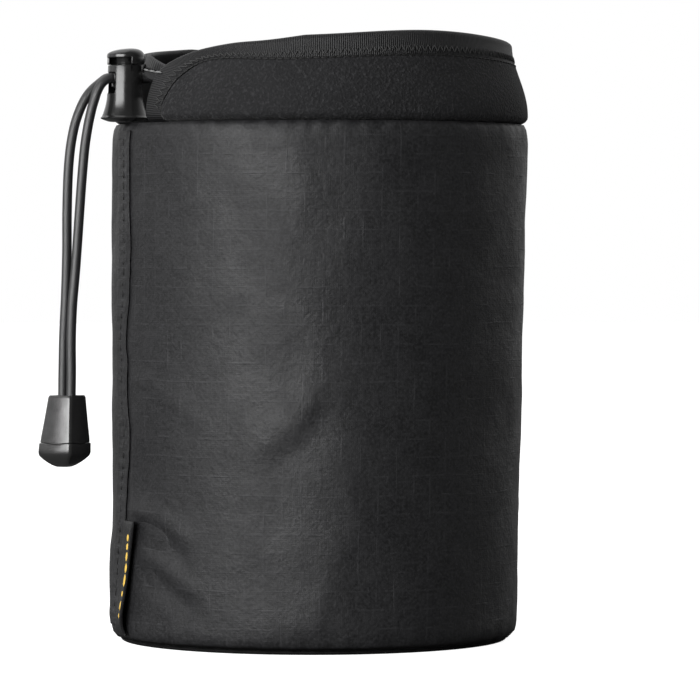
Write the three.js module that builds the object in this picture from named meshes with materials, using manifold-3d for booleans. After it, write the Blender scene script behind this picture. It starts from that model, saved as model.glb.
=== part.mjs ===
// A padded slip-on lens cover: a round sleeve with a closed base, a notched stretch collar with a
// drawcord in its hem, a push-button cord lock that stands in the notch, and two cord strands that
// hang into a cord end.
// Millimetres, +Z up. The origin is the centre of the base's underside, and -Y is the front.
// A bearing is measured in degrees from the front, positive towards +X.
import * as THREE from "three";
import { mergeVertices } from "three/addons/utils/BufferGeometryUtils.js";
import Module from "manifold-3d";

// Sleeve
const sleeveTop = 160.2; // height of the sleeve's top edge
const sleeveRadiusLow = 63.3; // outer radius just above the rolled bottom edge
const sleeveRadiusHigh = 64.8; // outer radius below the collar
const shellThickness = 0.6;
const paddingThickness = 6;
const liningThickness = 0.5;
const layerGap = 0.3; // clearance between sewn layers
const bottomRollHeight = 5.5;
const bottomRollInset = 2.4;
const topRollHeight = 7;
const topRollInset = 1.4;

// Base
const bindingHeight = 3.2;
const bindingWidth = 2.6;
const bindingInset = 2.9; // from the sleeve's outer radius in to the binding's
const bindingEdge = 0.8; // chamfer of the binding's outer corners
const panelThickness = 0.8;
const boardThickness = 1.6;
const basePaddingThickness = 5;

// Collar
const collarHeight = 18.5; // from the collar's lower edge to the hem seam
const hemHeight = 7.2;
const hemThickness = 4.6;
const collarThickness = 1.8;
const collarLiningThickness = 0.9;
const flangeThickness = 0.7; // the lining turned over the padding's top edge
const collarFootInset = 0.2; // from the sleeve's outer radius in to the collar above its tucked foot
const collarTuck = 1.7; // how far the collar's lower edge is tucked in
const tuckHeight = 2;
const collarBulge = 0.5; // how far the band swells at half its height
const leanMargin = 0.05; // share of the height, at foot and rim, where the collar stands upright
const rimInset = 5.5; // from the sleeve's outer radius in to the top of the rim
const rimRounding = 1.2;

// Notch over the side seam, as half outlines: distance from its edge, and height above the collar's foot
const notchHalfWidth = 13.8;
const lapelWidth = 8.4; // hem down each lapel end
const notchEdge = [
  [0, 13],
  [0.8, 14.7],
  [2.9, 16.5],
  [6.2, 18.3],
  [14, 20.9],
  [25, 23.1],
  [43, 26.4],
];
const seamEdge = [
  [0, 5.5],
  [1.6, 9],
  [3, 12],
  [6, 15],
  [10, 17.6],
  [14.5, 18.8],
];

// Side seam and label
const seamBearing = -68;
const stripWidth = 10; // topstitched seam allowance
const stripThickness = 0.5;
// The strip's front edge: height above the floor, and distance from the seam's bearing line
const stripEdge = [
  [158, 6.7],
  [100, 5.8],
  [60, 4.8],
  [39, 2.6],
  [5.5, -3.6],
];
const labelWidth = 9;
const labelHeight = 34;
const labelBottom = 4.6;
const labelTilt = 9.5; // degrees that the flag leans with the strip's edge
const ribbonThickness = 0.4;
const ribbonSlit = 0.3;
const labelLift = 9; // degrees that the flag stands off the sleeve

// Drawcord
const cordDiameter = 3;
const channelDiameter = 3.7;
const channelDrop = 3.6; // from the rim's top down to the level run of the channel
const mouthOverrun = 1.2; // the channel's cutter past its mouth, in steps of the run
const cordSides = 8;
const hemRunStep = 8; // degrees between the stations of the level run
const levelRunFrom = 60; // degrees from the seam where the run gets level
// Each lapel's run in the hem: degrees from the seam, and height above the collar's lower edge
const lapelRun = [
  [14.6, 13.7],
  [17.4, 14.2],
  [20.8, 15.4],
  [25, 17],
  [30, 18.6],
  [37, 20.2],
  [46, 21.4],
];
// From the lapel's mouth to the lock's inner side: distance along the hem and outward from the lock's centre
const mouthRun = [
  [11.4, -4.9],
  [8.9, -5.6],
  [6.7, -6.9],
  [4.6, -8.2],
  [2.7, -8.1],
  [1.75, -6.7],
];

// Cord lock, a barrel with a flared foot and a push button
const lockInset = 0.3; // from the sleeve's outer radius in to the lock's axis
const lockFootGap = 0.5; // from the sleeve's top edge up to the lock's foot
const lockHeight = 17.3; // from the foot's underside to the barrel's rim
const barrelRadiusTop = 5.4;
const barrelRadiusLow = 5.6;
const footRadius = 7.5;
const footUndersideRadius = 4.9;
const footEdgeHeight = 1.2;
const footEdgeRounding = 0.4;
const flareHeight = 8; // where the foot's flare runs out on the barrel
const flareCurve = 1.6; // higher keeps more of the flare close to the barrel
const flareShares = [1, 0.7, 0.35]; // of the flare, at its bends
const lockFloor = 1.7;
const boreRadius = 4.4;
const stemClearance = 0.2;
const pressTravel = 2;
const pressSlack = 0.3; // left between cap and rim when the button is pressed home
const capRadius = 5.75;
const capRimHeight = 0.7;
const capDomeHeight = 2.1;
const domeShares = [1, 0.92, 0.75, 0.45]; // of the cap's radius, at the dome's bends
const stemChamfer = 0.5;
const cordRoom = 0.25; // clearance above and below the gripped cords
const cordSideRoom = 0.15;
const cordSpacing = 3.3; // between the two cords' centres in the lock
const cordHoleCorner = 0.9;
const gripReach = 2.2; // the cords run straight this far from the lock's axis
const exitHeight = 13.5; // of the cords' centres above the foot's underside
const housingHoleSpare = 1.2; // the housing's hole is lower than the stem's by this much
const stemFloor = 1.4; // below the stem's hole
// Half of the cap has a skirt, which runs in a step of the barrel and keeps the button from turning
const stepRadius = 4.85;
const holeBridge = 0.3; // wall left between the cord hole and the step
const skirtClearance = 0.15;
const skirtRoot = 0.6; // how deep the skirt is set into the cap

// Lock spring
const springWire = 0.7;
const springRadius = 2.9;
const springTurns = 5;
const springSeatGap = 0.3;
const stepsPerTurn = 8;
const wireSides = 5;

// Free strands: outward from the lock's axis, and drop below the lock's hole
const strandStart = 4.6; // the held cord ends here, inside the hole's outer mouth
const strandGap = 0.3;
const throatLead = 1; // the strands run upright from this far above the cord end
const frontStrand = [
  [5.7, 0.1],
  [6.9, 1],
  [7.6, 3],
  [8, 5.6],
  [9, 8.2],
  [10.3, 11],
  [11.6, 15],
  [12.8, 21],
  [13.6, 29],
  [14.2, 38],
  [14.9, 48],
  [15.7, 59],
  [16.8, 70],
  [17.1, 80],
  [16.95, 90],
];
const backStrand = [
  [6, 0.1],
  [7.8, 0.7],
  [9.6, 2.5],
  [11, 5.4],
  [12.9, 8.8],
  [14.5, 12.2],
  [16, 17],
  [17.2, 24],
  [17.8, 32],
  [17.8, 42],
  [17.7, 53],
  [17.9, 66],
  [18.35, 79],
  [18.45, 90],
];

// Cord end, a four-sided bell
const bellOutward = 17.7; // from the lock's axis
const bellDrop = 97.2; // from the lock's hole down to the bell's top
const bellHeight = 14.5;
const bellCornerTop = 6.15; // half across its corners
const bellCornerLow = 8.05;
const cornerRounding = 0.93; // round section's share of the corner size
const bellShoulder = 0.6; // chamfer of the bell's top edge
const bellTurn = 14; // bearing of the corner that faces the front
const bellThroat = 3.5;
const throatDepth = 3;
const cavityTop = 3.9;
const cavityLow = 4.7;
const plugHeight = 7.5;
const plugCorner = 8.6;
const plugCornerLow = 3;
const plugBelly = 1.6; // height of the bend between the plug's two bevels
const plugBellyCorner = 5.5;
const plugBand = 3.6; // upright band above the bevels
const plugSeatGap = 0.3;
const bossHeight = 3.4;
const bossClearance = 0.3;
const bossRoot = 0.5; // how deep the boss is set into the plug
const bossChamfer = 0.4;
const knotRadius = 3.3;
const knotHeight = 5;
const knotTurns = 3;
const knotWaist = 0.8; // share of the radius between the turns
const knotWaistSpan = 0.05; // share of a turn's height
const knotFacets = 16;

// Facets
const ringFacets = 56;
const lockFacets = 28;
const cornerSegments = 3;
const foldSegments = 4;
const mergeTolerance = 1e-4;
const cutterOverrun = 1; // how far a cutter stands past what it cuts

const wasm = await Module();
wasm.setup();

function solidOf(geometry) {
  const bare = geometry.clone();
  bare.deleteAttribute("normal");
  bare.deleteAttribute("uv");
  const merged = mergeVertices(bare, mergeTolerance);
  const mesh = new wasm.Mesh({
    numProp: 3,
    vertProperties: merged.attributes.position.array,
    triVerts: merged.index.array,
  });
  return new wasm.Manifold(mesh);
}

function geometryOf(solid) {
  const mesh = solid.getMesh();
  const geometry = new THREE.BufferGeometry();
  geometry.setAttribute("position", new THREE.BufferAttribute(mesh.vertProperties, 3));
  geometry.setIndex(new THREE.BufferAttribute(mesh.triVerts, 1));
  return geometry;
}

// A closed profile of [radius, height] points turned about +Z, starting at the front.
function revolve(profile, facets = ringFacets) {
  const points = profile.map(([radius, height]) => new THREE.Vector2(radius, height));
  if (!THREE.ShapeUtils.isClockWise(points)) points.reverse();
  points.reverse();
  points.push(points[0].clone());
  return new THREE.LatheGeometry(points, facets).rotateX(Math.PI / 2);
}

function direction(bearing) {
  const angle = THREE.MathUtils.degToRad(bearing);
  return new THREE.Vector3(Math.sin(angle), -Math.cos(angle), 0);
}

function alongTangent(bearing) {
  return direction(bearing + 90);
}

function lerp(from, to, share) {
  return from + (to - from) * share;
}

// A curve whose steps fall on its chosen points, so that tight bends get more of them.
class StationCurve extends THREE.CatmullRomCurve3 {
  getUtoTmapping(u) {
    return u;
  }
}

function polygon(radius, sides) {
  const corners = [];
  for (let i = 0; i < sides; i++) {
    const angle = (2 * Math.PI * (i + 0.5)) / sides;
    corners.push(new THREE.Vector2(radius * Math.cos(angle), radius * Math.sin(angle)));
  }
  return new THREE.Shape(corners);
}

function tubeAlong(points, diameter, sides = cordSides) {
  const extrudePath = new StationCurve(points);
  const steps = points.length - 1;
  return new THREE.ExtrudeGeometry(polygon(diameter / 2, sides), { steps, extrudePath, bevelEnabled: false });
}

// Sleeve wall
const shellBottom = bindingHeight + layerGap;

function coneRadius(height) {
  return lerp(sleeveRadiusLow, sleeveRadiusHigh, height / sleeveTop);
}

// The rolled edges in short straight facets: [height, inset] stations that every layer of the wall shares.
const lowShares = [0, 0.1, 0.4, 1];
const highShares = [0, 0.6, 1];

function rollInset(share, inset) {
  return inset * (1 - Math.sqrt(1 - share * share));
}

function lowStation(share) {
  return [shellBottom + bottomRollHeight * share, rollInset(1 - share, bottomRollInset)];
}

function highStation(share) {
  return [sleeveTop - topRollHeight * (1 - share), rollInset(share, topRollInset)];
}

const rollStations = [...lowShares.map(lowStation), ...highShares.map(highStation)];

function sleeveRadius(height) {
  const next = rollStations.findIndex(([station]) => station >= height);
  const [highAt, highInset] = rollStations[Math.max(next, 1)];
  const [lowAt, lowInset] = rollStations[Math.max(next, 1) - 1];
  return coneRadius(height) - lerp(lowInset, highInset, (height - lowAt) / (highAt - lowAt));
}

function wallHeights(bottom, top) {
  const bends = rollStations.map(([station]) => station);
  return [bottom, ...bends.filter((height) => height > bottom && height < top), top];
}

// A ring between two offsets in from the sleeve's outer surface; its inner side is straight if asked.
function wallRing(bottom, top, outerOffset, innerOffset, straightInside = false) {
  const heights = wallHeights(bottom, top);
  const outer = heights.map((height) => [sleeveRadius(height) - outerOffset, height]);
  const insideHeights = straightInside ? [bottom, top] : heights;
  const insideRadius = straightInside ? coneRadius : sleeveRadius;
  const inner = insideHeights.map((height) => [insideRadius(height) - innerOffset, height]);
  return revolve([...outer, ...inner.reverse()]);
}

const paddingOffset = shellThickness + layerGap;
const liningOffset = paddingOffset + paddingThickness + layerGap;
const pocketOffset = liningOffset + liningThickness;
const flangeBottom = sleeveTop - flangeThickness;
const paddingTop = flangeBottom - layerGap;

function straightRing(bottom, top, outerOffset, innerOffset) {
  return revolve([
    [coneRadius(bottom) - outerOffset, bottom],
    [coneRadius(top) - outerOffset, top],
    [coneRadius(top) - innerOffset, top],
    [coneRadius(bottom) - innerOffset, bottom],
  ]);
}

function disc(radius, bottom, top) {
  return revolve([
    [0, bottom],
    [radius, bottom],
    [radius, top],
    [0, top],
  ]);
}

// Base
const bindingOuter = sleeveRadiusLow - bindingInset;
const bindingInner = bindingOuter - bindingWidth;
const boardBottom = panelThickness + layerGap;
const basePaddingBottom = boardBottom + boardThickness + layerGap;
const basePaddingTop = basePaddingBottom + basePaddingThickness;
const liningBottom = basePaddingTop + layerGap;

function baseBinding() {
  return revolve([
    [bindingInner, 0],
    [bindingOuter - bindingEdge, 0],
    [bindingOuter, bindingEdge],
    [bindingOuter, bindingHeight - bindingEdge],
    [bindingOuter - bindingEdge, bindingHeight],
    [bindingInner, bindingHeight],
  ]);
}

// Collar
const collarSeat = sleeveTop + layerGap;
const hemSeam = collarSeat + collarHeight;
const rimTop = hemSeam + hemHeight;
const collarFootRadius = sleeveRadiusHigh - collarFootInset;
const rimRadius = sleeveRadiusHigh - rimInset;

// The collar's outer profile is tucked in at its foot, and leans in to the rim with a slight swell.
function collarRadius(height) {
  const above = Math.max(height - collarSeat, 0);
  const share = above / (rimTop - collarSeat);
  const tuck = collarTuck * Math.max(1 - above / tuckHeight, 0) ** 2;
  const swell = collarBulge * Math.sin(Math.PI * share);
  const lean = THREE.MathUtils.smoothstep(share, leanMargin, 1 - leanMargin);
  return lerp(collarFootRadius, rimRadius, lean) + swell - tuck;
}

const collarShares = [0, 0.04, 0.1, 0.5, 0.75, 1];

function collarRing(outerOffset, innerOffset, top) {
  const heights = collarShares.map((share) => lerp(collarSeat, top, share));
  const outer = heights.map((height) => [collarRadius(height) - outerOffset, height]);
  const inner = heights.map((height) => [collarRadius(height) - innerOffset, height]);
  return [...outer, ...inner.reverse()];
}

function hemRing() {
  const heights = collarShares.map((share) => lerp(collarSeat, rimTop - rimRounding, share));
  const outer = heights.map((height) => [collarRadius(height), height]);
  const inner = heights.map((height) => [collarRadius(height) - hemThickness, height]);
  const crown = [
    [collarRadius(rimTop) - rimRounding, rimTop],
    [collarRadius(rimTop) - hemThickness + rimRounding, rimTop],
  ];
  return revolve([...outer, ...crown, ...inner.reverse()]);
}

// A cutter that stands over the side seam and reaches in through the near wall of the collar.
function seamCutter(edge, halfWidth, bottom) {
  const side = edge.map(([out, up]) => [halfWidth + out, collarSeat + up]);
  const reach = side[side.length - 1][0];
  const above = rimTop + hemHeight;
  const right = [[halfWidth, bottom], ...side, [reach, above]];
  const left = right.map(([across, up]) => [-across, up]).reverse();
  const outline = [...right, ...left].map(([across, up]) => new THREE.Vector2(across, up));
  const depth = sleeveRadiusHigh + hemHeight;
  const cutter = new THREE.ExtrudeGeometry(new THREE.Shape(outline), { depth, bevelEnabled: false });
  return cutter.rotateX(Math.PI / 2).rotateZ(THREE.MathUtils.degToRad(seamBearing));
}

const notchCutter = solidOf(seamCutter(notchEdge, notchHalfWidth, sleeveTop));
const seamHalfWidth = notchHalfWidth + lapelWidth;
const lapelCutter = solidOf(seamCutter(seamEdge, seamHalfWidth, sleeveTop));
const bandCutter = solidOf(seamCutter(seamEdge, seamHalfWidth + layerGap, sleeveTop));

// Drawcord
const lockFoot = sleeveTop + lockFootGap;
const exitLevel = lockFoot + exitHeight;
const channelLevel = rimTop - channelDrop;
const lockCentre = direction(seamBearing).multiplyScalar(sleeveRadiusHigh - lockInset);
const outward = direction(seamBearing);
const across = alongTangent(seamBearing);

function beside(acrossDistance, outDistance, height) {
  const place = lockCentre.clone().addScaledVector(across, acrossDistance);
  return place.addScaledVector(outward, outDistance).setZ(height);
}

function inHem(degrees, height) {
  const radius = collarRadius(height) - hemThickness / 2;
  return direction(seamBearing + degrees).multiplyScalar(radius).setZ(height);
}

function lapelStations(side) {
  return lapelRun.map(([degrees, up]) => inHem(side * degrees, collarSeat + up));
}

function levelStations() {
  const stations = [];
  const count = Math.round((360 - 2 * levelRunFrom) / hemRunStep);
  for (let i = 0; i <= count; i++) {
    stations.push(inHem(lerp(levelRunFrom, 360 - levelRunFrom, i / count), channelLevel));
  }
  return stations;
}

const channelStations = [...lapelStations(1), ...levelStations(), ...lapelStations(-1).reverse()];

function lockStations(side) {
  const halfSpacing = (side * cordSpacing) / 2;
  const through = [strandStart, gripReach, -gripReach].map((out) => beside(halfSpacing, out, exitLevel));
  const toMouth = mouthRun.map(([along, out]) => beside(side * along, out, exitLevel)).reverse();
  return [...through, ...toMouth];
}

const loopStations = [...lockStations(1), ...channelStations, ...lockStations(-1).reverse()];

function channelCutter() {
  const first = channelStations[0].clone().lerp(channelStations[1], -mouthOverrun);
  const last = channelStations.at(-1).clone().lerp(channelStations.at(-2), -mouthOverrun);
  return solidOf(tubeAlong([first, ...channelStations, last], channelDiameter));
}

function rimHem() {
  const lower = disc(sleeveRadiusHigh + hemHeight, sleeveTop, hemSeam);
  const keepOut = solidOf(lower).subtract(lapelCutter);
  return geometryOf(solidOf(hemRing()).subtract(notchCutter).subtract(keepOut).subtract(channelCutter()));
}

function collarBand() {
  const ring = revolve(collarRing(0, collarThickness, hemSeam - layerGap));
  return geometryOf(solidOf(ring).subtract(bandCutter));
}

function collarLining() {
  const innerOffset = collarThickness + layerGap + collarLiningThickness;
  const outerOffset = collarThickness + layerGap;
  const wall = collarRing(outerOffset, innerOffset, hemSeam - layerGap);
  const flangeOuter = sleeveRadius(sleeveTop) - paddingOffset;
  const flangeInner = coneRadius(sleeveTop) - pocketOffset;
  const profile = [
    [flangeInner, flangeBottom],
    [flangeOuter, flangeBottom],
    [flangeOuter, sleeveTop],
    [wall[0][0], sleeveTop],
    ...wall,
    [wall.at(-1)[0], sleeveTop],
    [flangeInner, sleeveTop],
  ];
  return geometryOf(solidOf(revolve(profile)).subtract(bandCutter));
}

// Side seam
function seamStrip() {
  const bottom = stripEdge.at(-1)[0];
  const top = stripEdge[0][0];
  const ring = wallRing(bottom, top, -layerGap - stripThickness, -layerGap);
  const front = stripEdge.map(([height, out]) => new THREE.Vector2(out, height));
  const back = front.map((point) => new THREE.Vector2(point.x - stripWidth, point.y)).reverse();
  const reach = Math.max(sleeveRadiusLow, sleeveRadiusHigh) + layerGap + stripThickness + cutterOverrun;
  const shape = new THREE.Shape([...front, ...back]);
  const outline = new THREE.ExtrudeGeometry(shape, { depth: reach, bevelEnabled: false });
  outline.rotateX(Math.PI / 2).rotateZ(THREE.MathUtils.degToRad(seamBearing));
  return geometryOf(solidOf(ring).intersect(solidOf(outline)));
}

// The strip's front edge at a height, as a bearing.
function edgeBearing(height) {
  const next = Math.max(stripEdge.findIndex(([station]) => station <= height), 1);
  const [highAt, highOut] = stripEdge[next - 1];
  const [lowAt, lowOut] = stripEdge[next];
  const out = lerp(lowOut, highOut, (height - lowAt) / (highAt - lowAt));
  return seamBearing + THREE.MathUtils.radToDeg(Math.asin(out / coneRadius(height)));
}

function sideLabel() {
  const outer = ribbonThickness + ribbonSlit / 2;
  const inner = ribbonSlit / 2;
  const fold = labelWidth - outer;
  const shape = new THREE.Shape();
  shape.moveTo(0, -outer);
  shape.lineTo(fold, -outer);
  shape.absarc(fold, 0, outer, -Math.PI / 2, Math.PI / 2, false);
  shape.lineTo(0, outer);
  shape.lineTo(0, inner);
  shape.lineTo(fold, inner);
  shape.absarc(fold, 0, inner, Math.PI / 2, -Math.PI / 2, true);
  shape.lineTo(0, -inner);
  const options = { depth: labelHeight, bevelEnabled: false, curveSegments: foldSegments };
  const flag = new THREE.ExtrudeGeometry(shape, options);
  const middle = labelBottom + labelHeight / 2;
  const bearing = edgeBearing(middle) + THREE.MathUtils.radToDeg(layerGap / coneRadius(middle));
  const sleeveReach = Math.max(coneRadius(labelBottom), coneRadius(labelBottom + labelHeight));
  const root = direction(bearing).multiplyScalar(sleeveReach + layerGap + outer);
  flag.translate(0, 0, -labelHeight / 2).rotateY(THREE.MathUtils.degToRad(labelTilt));
  return flag.rotateZ(THREE.MathUtils.degToRad(bearing - labelLift)).translate(root.x, root.y, middle);
}

// Cord lock
const lockRim = lockFoot + lockHeight;
const gripTop = exitLevel + cordDiameter / 2 + cordRoom;
const gripBottom = exitLevel - cordDiameter / 2 - cordRoom;
const stemHoleHeight = gripTop - gripBottom + pressTravel;
const stemHoleWidth = cordSpacing + cordDiameter + 2 * cordSideRoom;
const stemRadius = boreRadius - stemClearance;
const stemBottom = gripBottom - stemFloor;
const capBottom = lockRim + pressTravel + pressSlack;
const stepFloor = gripTop + holeBridge;
const skirtBottom = stepFloor + pressTravel + skirtClearance;

// A hole for both cords, right through the lock along the way that they leave it.
function cordHole(width, bottom, top) {
  const inset = width / 2 - cordHoleCorner;
  const low = bottom + cordHoleCorner;
  const high = top - cordHoleCorner;
  const shape = new THREE.Shape();
  shape.absarc(inset, low, cordHoleCorner, -Math.PI / 2, 0, false);
  shape.absarc(inset, high, cordHoleCorner, 0, Math.PI / 2, false);
  shape.absarc(-inset, high, cordHoleCorner, Math.PI / 2, Math.PI, false);
  shape.absarc(-inset, low, cordHoleCorner, Math.PI, 1.5 * Math.PI, false);
  const depth = 4 * footRadius;
  const options = { depth, bevelEnabled: false, curveSegments: cornerSegments };
  const hole = new THREE.ExtrudeGeometry(shape, options);
  hole.translate(0, 0, -depth / 2).rotateX(Math.PI / 2);
  return solidOf(hole.rotateZ(THREE.MathUtils.degToRad(seamBearing)));
}

// Half a ring about the lock's axis, on the side that faces the sleeve's axis and a little past its middle.
function innerHalfRing(outer, inner, bottom, top, past) {
  const ring = revolve(
    [
      [inner, bottom],
      [outer, bottom],
      [outer, top],
      [inner, top],
    ],
    lockFacets,
  );
  const size = 4 * footRadius;
  const half = new THREE.BoxGeometry(size, size, size).translate(0, size / 2 - past, (bottom + top) / 2);
  return solidOf(ring).intersect(solidOf(half.rotateZ(THREE.MathUtils.degToRad(seamBearing))));
}

function atLock(solid) {
  return geometryOf(solid).translate(lockCentre.x, lockCentre.y, 0);
}

// The barrel widens to its foot: how wide it is at a share of the flare.
function flareStation(share) {
  const footOut = footRadius - footEdgeRounding - barrelRadiusLow;
  const height = lerp(flareHeight, footEdgeHeight + footEdgeRounding, share);
  return [barrelRadiusLow + footOut * share ** flareCurve, lockFoot + height];
}

function lockHousing() {
  const footTop = lockFoot + footEdgeHeight;
  const body = revolve(
    [
      [0, lockFoot],
      [footUndersideRadius, lockFoot],
      [footRadius - footEdgeRounding, footTop - footEdgeRounding],
      [footRadius, footTop],
      ...flareShares.map(flareStation),
      [barrelRadiusLow, lockFoot + flareHeight],
      [barrelRadiusTop, lockRim],
      [boreRadius, lockRim],
      [boreRadius, lockFoot + lockFloor],
      [0, lockFoot + lockFloor],
    ],
    lockFacets,
  );
  const holeBottom = gripTop - stemHoleHeight - housingHoleSpare;
  const hole = cordHole(stemHoleWidth + 2 * cordSideRoom, holeBottom, gripTop);
  const above = lockRim + cutterOverrun;
  const step = innerHalfRing(footRadius, stepRadius, stepFloor, above, skirtClearance);
  return atLock(solidOf(body).subtract(hole).subtract(step));
}

function lockPlunger() {
  const capShoulder = capBottom + capRimHeight;
  const dome = domeShares.map((share) => [
    capRadius * share,
    capShoulder + capDomeHeight * Math.sqrt(1 - share * share),
  ]);
  const body = revolve(
    [
      [0, stemBottom],
      [stemRadius - stemChamfer, stemBottom],
      [stemRadius, stemBottom + stemChamfer],
      [stemRadius, capBottom],
      [capRadius, capBottom],
      ...dome,
      [0, capShoulder + capDomeHeight],
    ],
    lockFacets,
  );
  const hole = cordHole(stemHoleWidth, gripBottom, gripBottom + stemHoleHeight);
  const skirt = innerHalfRing(capRadius, stepRadius + skirtClearance, skirtBottom, capBottom + skirtRoot, 0);
  return atLock(solidOf(body).subtract(hole).add(skirt));
}

// The spring's helix, and the least gap between neighbouring turns, measured on its points.
function springPoints() {
  const bottom = lockFoot + lockFloor + springSeatGap + springWire / 2;
  const top = stemBottom - springSeatGap - springWire / 2;
  const points = [];
  const count = springTurns * stepsPerTurn;
  for (let i = 0; i <= count; i++) {
    const angle = (2 * Math.PI * i) / stepsPerTurn;
    const height = lerp(bottom, top, i / count);
    points.push(new THREE.Vector3(springRadius * Math.cos(angle), springRadius * Math.sin(angle), height));
  }
  return points;
}

function leastGap(points, diameter, apart) {
  let least = Infinity;
  for (let i = 0; i < points.length; i++) {
    for (let j = i + apart; j < points.length; j++) {
      least = Math.min(least, points[i].distanceTo(points[j]) - diameter);
    }
  }
  return least;
}

function lockSpring() {
  const points = springPoints();
  const gap = leastGap(points, springWire, stepsPerTurn / 2);
  console.log(`lock spring: least gap between turns ${gap.toFixed(2)} mm`);
  return tubeAlong(points, springWire, wireSides).translate(lockCentre.x, lockCentre.y, 0);
}

// Free strands, from the lock's outer side down through the cord end's throat to the knot
const bellTop = exitLevel - bellDrop;
const bellBottom = bellTop - bellHeight;
const knotTop = bellTop - throatDepth - strandGap;

function strand(side, route) {
  const place = (out, drop) => beside((side * cordSpacing) / 2, out, exitLevel - drop);
  const lastOut = route.at(-1)[0];
  const stations = [
    place(strandStart + strandGap, 0),
    ...route.map(([out, drop]) => place(out, drop)),
    place(lastOut, bellDrop - throatLead),
    place(lastOut, exitLevel - knotTop - strandGap),
  ];
  return tubeAlong(stations, cordDiameter);
}

// Cord end
const bellCentre = beside(0, bellOutward, 0);

function squareSolid(profile) {
  const square = revolve(profile, 4).rotateZ(THREE.MathUtils.degToRad(bellTurn));
  const rounded = profile.map(([corner, height]) => [corner * cornerRounding, height]);
  return solidOf(square).intersect(solidOf(revolve(rounded, lockFacets)));
}

function atBell(solid) {
  return geometryOf(solid).translate(bellCentre.x, bellCentre.y, 0);
}

function cordEndShell() {
  const body = squareSolid([
    [0, bellBottom],
    [bellCornerLow, bellBottom],
    [bellCornerTop, bellTop - bellShoulder],
    [bellCornerTop - bellShoulder, bellTop],
    [0, bellTop],
  ]);
  const cavity = revolve(
    [
      [0, bellBottom - cutterOverrun],
      [cavityLow, bellBottom - cutterOverrun],
      [cavityLow, bellBottom],
      [cavityTop, bellTop - throatDepth],
      [bellThroat, bellTop - throatDepth],
      [bellThroat, bellTop + cutterOverrun],
      [0, bellTop + cutterOverrun],
    ],
    lockFacets,
  );
  return atBell(body.subtract(solidOf(cavity)));
}

function cordEndPlug() {
  const top = bellBottom - plugSeatGap;
  const bottom = top - plugHeight;
  const cap = squareSolid([
    [0, bottom],
    [plugCornerLow, bottom],
    [plugBellyCorner, bottom + plugBelly],
    [plugCorner, top - plugBand],
    [plugCorner, top],
    [0, top],
  ]);
  const bossRadius = lerp(cavityLow, cavityTop, bossHeight / (bellHeight - throatDepth)) - bossClearance;
  const boss = revolve(
    [
      [0, top - bossRoot],
      [bossRadius, top - bossRoot],
      [bossRadius, top + bossHeight - bossChamfer],
      [bossRadius - bossChamfer, top + bossHeight],
      [0, top + bossHeight],
    ],
    lockFacets,
  );
  return atBell(cap.add(solidOf(boss)));
}

// A tight knot: stacked turns, drawn in between them.
function drawcordKnot() {
  const bottom = knotTop - knotHeight;
  const turnHeight = knotHeight / knotTurns;
  const profile = [[0, bottom]];
  for (let i = 0; i < knotTurns; i++) {
    profile.push([knotRadius * knotWaist, bottom + turnHeight * (i + knotWaistSpan)]);
    profile.push([knotRadius, bottom + turnHeight * (i + 0.5)]);
    profile.push([knotRadius * knotWaist, bottom + turnHeight * (i + 1 - knotWaistSpan)]);
  }
  profile.push([0, knotTop]);
  return revolve(profile, knotFacets).translate(bellCentre.x, bellCentre.y, 0);
}

// Materials
const ripstop = () => new THREE.MeshStandardMaterial({ color: 0x2b2b2d, roughness: 0.72, metalness: 0 });
const stretchKnit = () => new THREE.MeshStandardMaterial({ color: 0x262628, roughness: 0.9, metalness: 0 });
const foam = () => new THREE.MeshStandardMaterial({ color: 0x3a3a3c, roughness: 1, metalness: 0 });
const lining = () => new THREE.MeshStandardMaterial({ color: 0x4a4a4d, roughness: 0.85, metalness: 0 });
const board = () => new THREE.MeshStandardMaterial({ color: 0x8d8d88, roughness: 0.6, metalness: 0 });
const braid = () => new THREE.MeshStandardMaterial({ color: 0x323336, roughness: 0.8, metalness: 0 });
const glossBlack = () => new THREE.MeshStandardMaterial({ color: 0x161618, roughness: 0.25, metalness: 0 });
const satinBlack = () => new THREE.MeshStandardMaterial({ color: 0x1c1c1f, roughness: 0.4, metalness: 0 });
const steel = () => new THREE.MeshStandardMaterial({ color: 0xb8bbc0, roughness: 0.3, metalness: 1 });

const lensCover = new THREE.Group();

function add(name, geometry, material) {
  const mesh = new THREE.Mesh(geometry, material);
  mesh.name = name;
  lensCover.add(mesh);
}

add("outer_shell", wallRing(shellBottom, sleeveTop, 0, shellThickness), ripstop());
add(
  "side_padding",
  wallRing(shellBottom + layerGap, paddingTop, paddingOffset, paddingOffset + paddingThickness, true),
  foam(),
);
add("side_lining", straightRing(liningBottom, paddingTop, liningOffset, pocketOffset), lining());
add("side_seam_strip", seamStrip(), ripstop());
add("side_label", sideLabel(), satinBlack());
add("base_binding", baseBinding(), braid());
add("base_panel", disc(bindingInner - layerGap, 0, panelThickness), ripstop());
add("base_board", disc(bindingInner - layerGap, boardBottom, boardBottom + boardThickness), board());
add(
  "base_padding",
  disc(sleeveRadiusLow - liningOffset, basePaddingBottom, basePaddingTop),
  foam(),
);
add(
  "base_lining",
  disc(coneRadius(liningBottom) - pocketOffset - layerGap, liningBottom, liningBottom + liningThickness),
  lining(),
);
add("collar_band", collarBand(), stretchKnit());
add("collar_lining", collarLining(), lining());
add("rim_hem", rimHem(), stretchKnit());
add("drawcord_loop", tubeAlong(loopStations, cordDiameter), braid());
add("drawcord_front_strand", strand(1, frontStrand), braid());
add("drawcord_back_strand", strand(-1, backStrand), braid());
add("drawcord_knot", drawcordKnot(), braid());
add("lock_housing", lockHousing(), glossBlack());
add("lock_plunger", lockPlunger(), glossBlack());
add("lock_spring", lockSpring(), steel());
add("cord_end_shell", cordEndShell(), satinBlack());
add("cord_end_plug", cordEndPlug(), satinBlack());

export default lensCover;
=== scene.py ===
import math
import random
from functools import lru_cache

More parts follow.
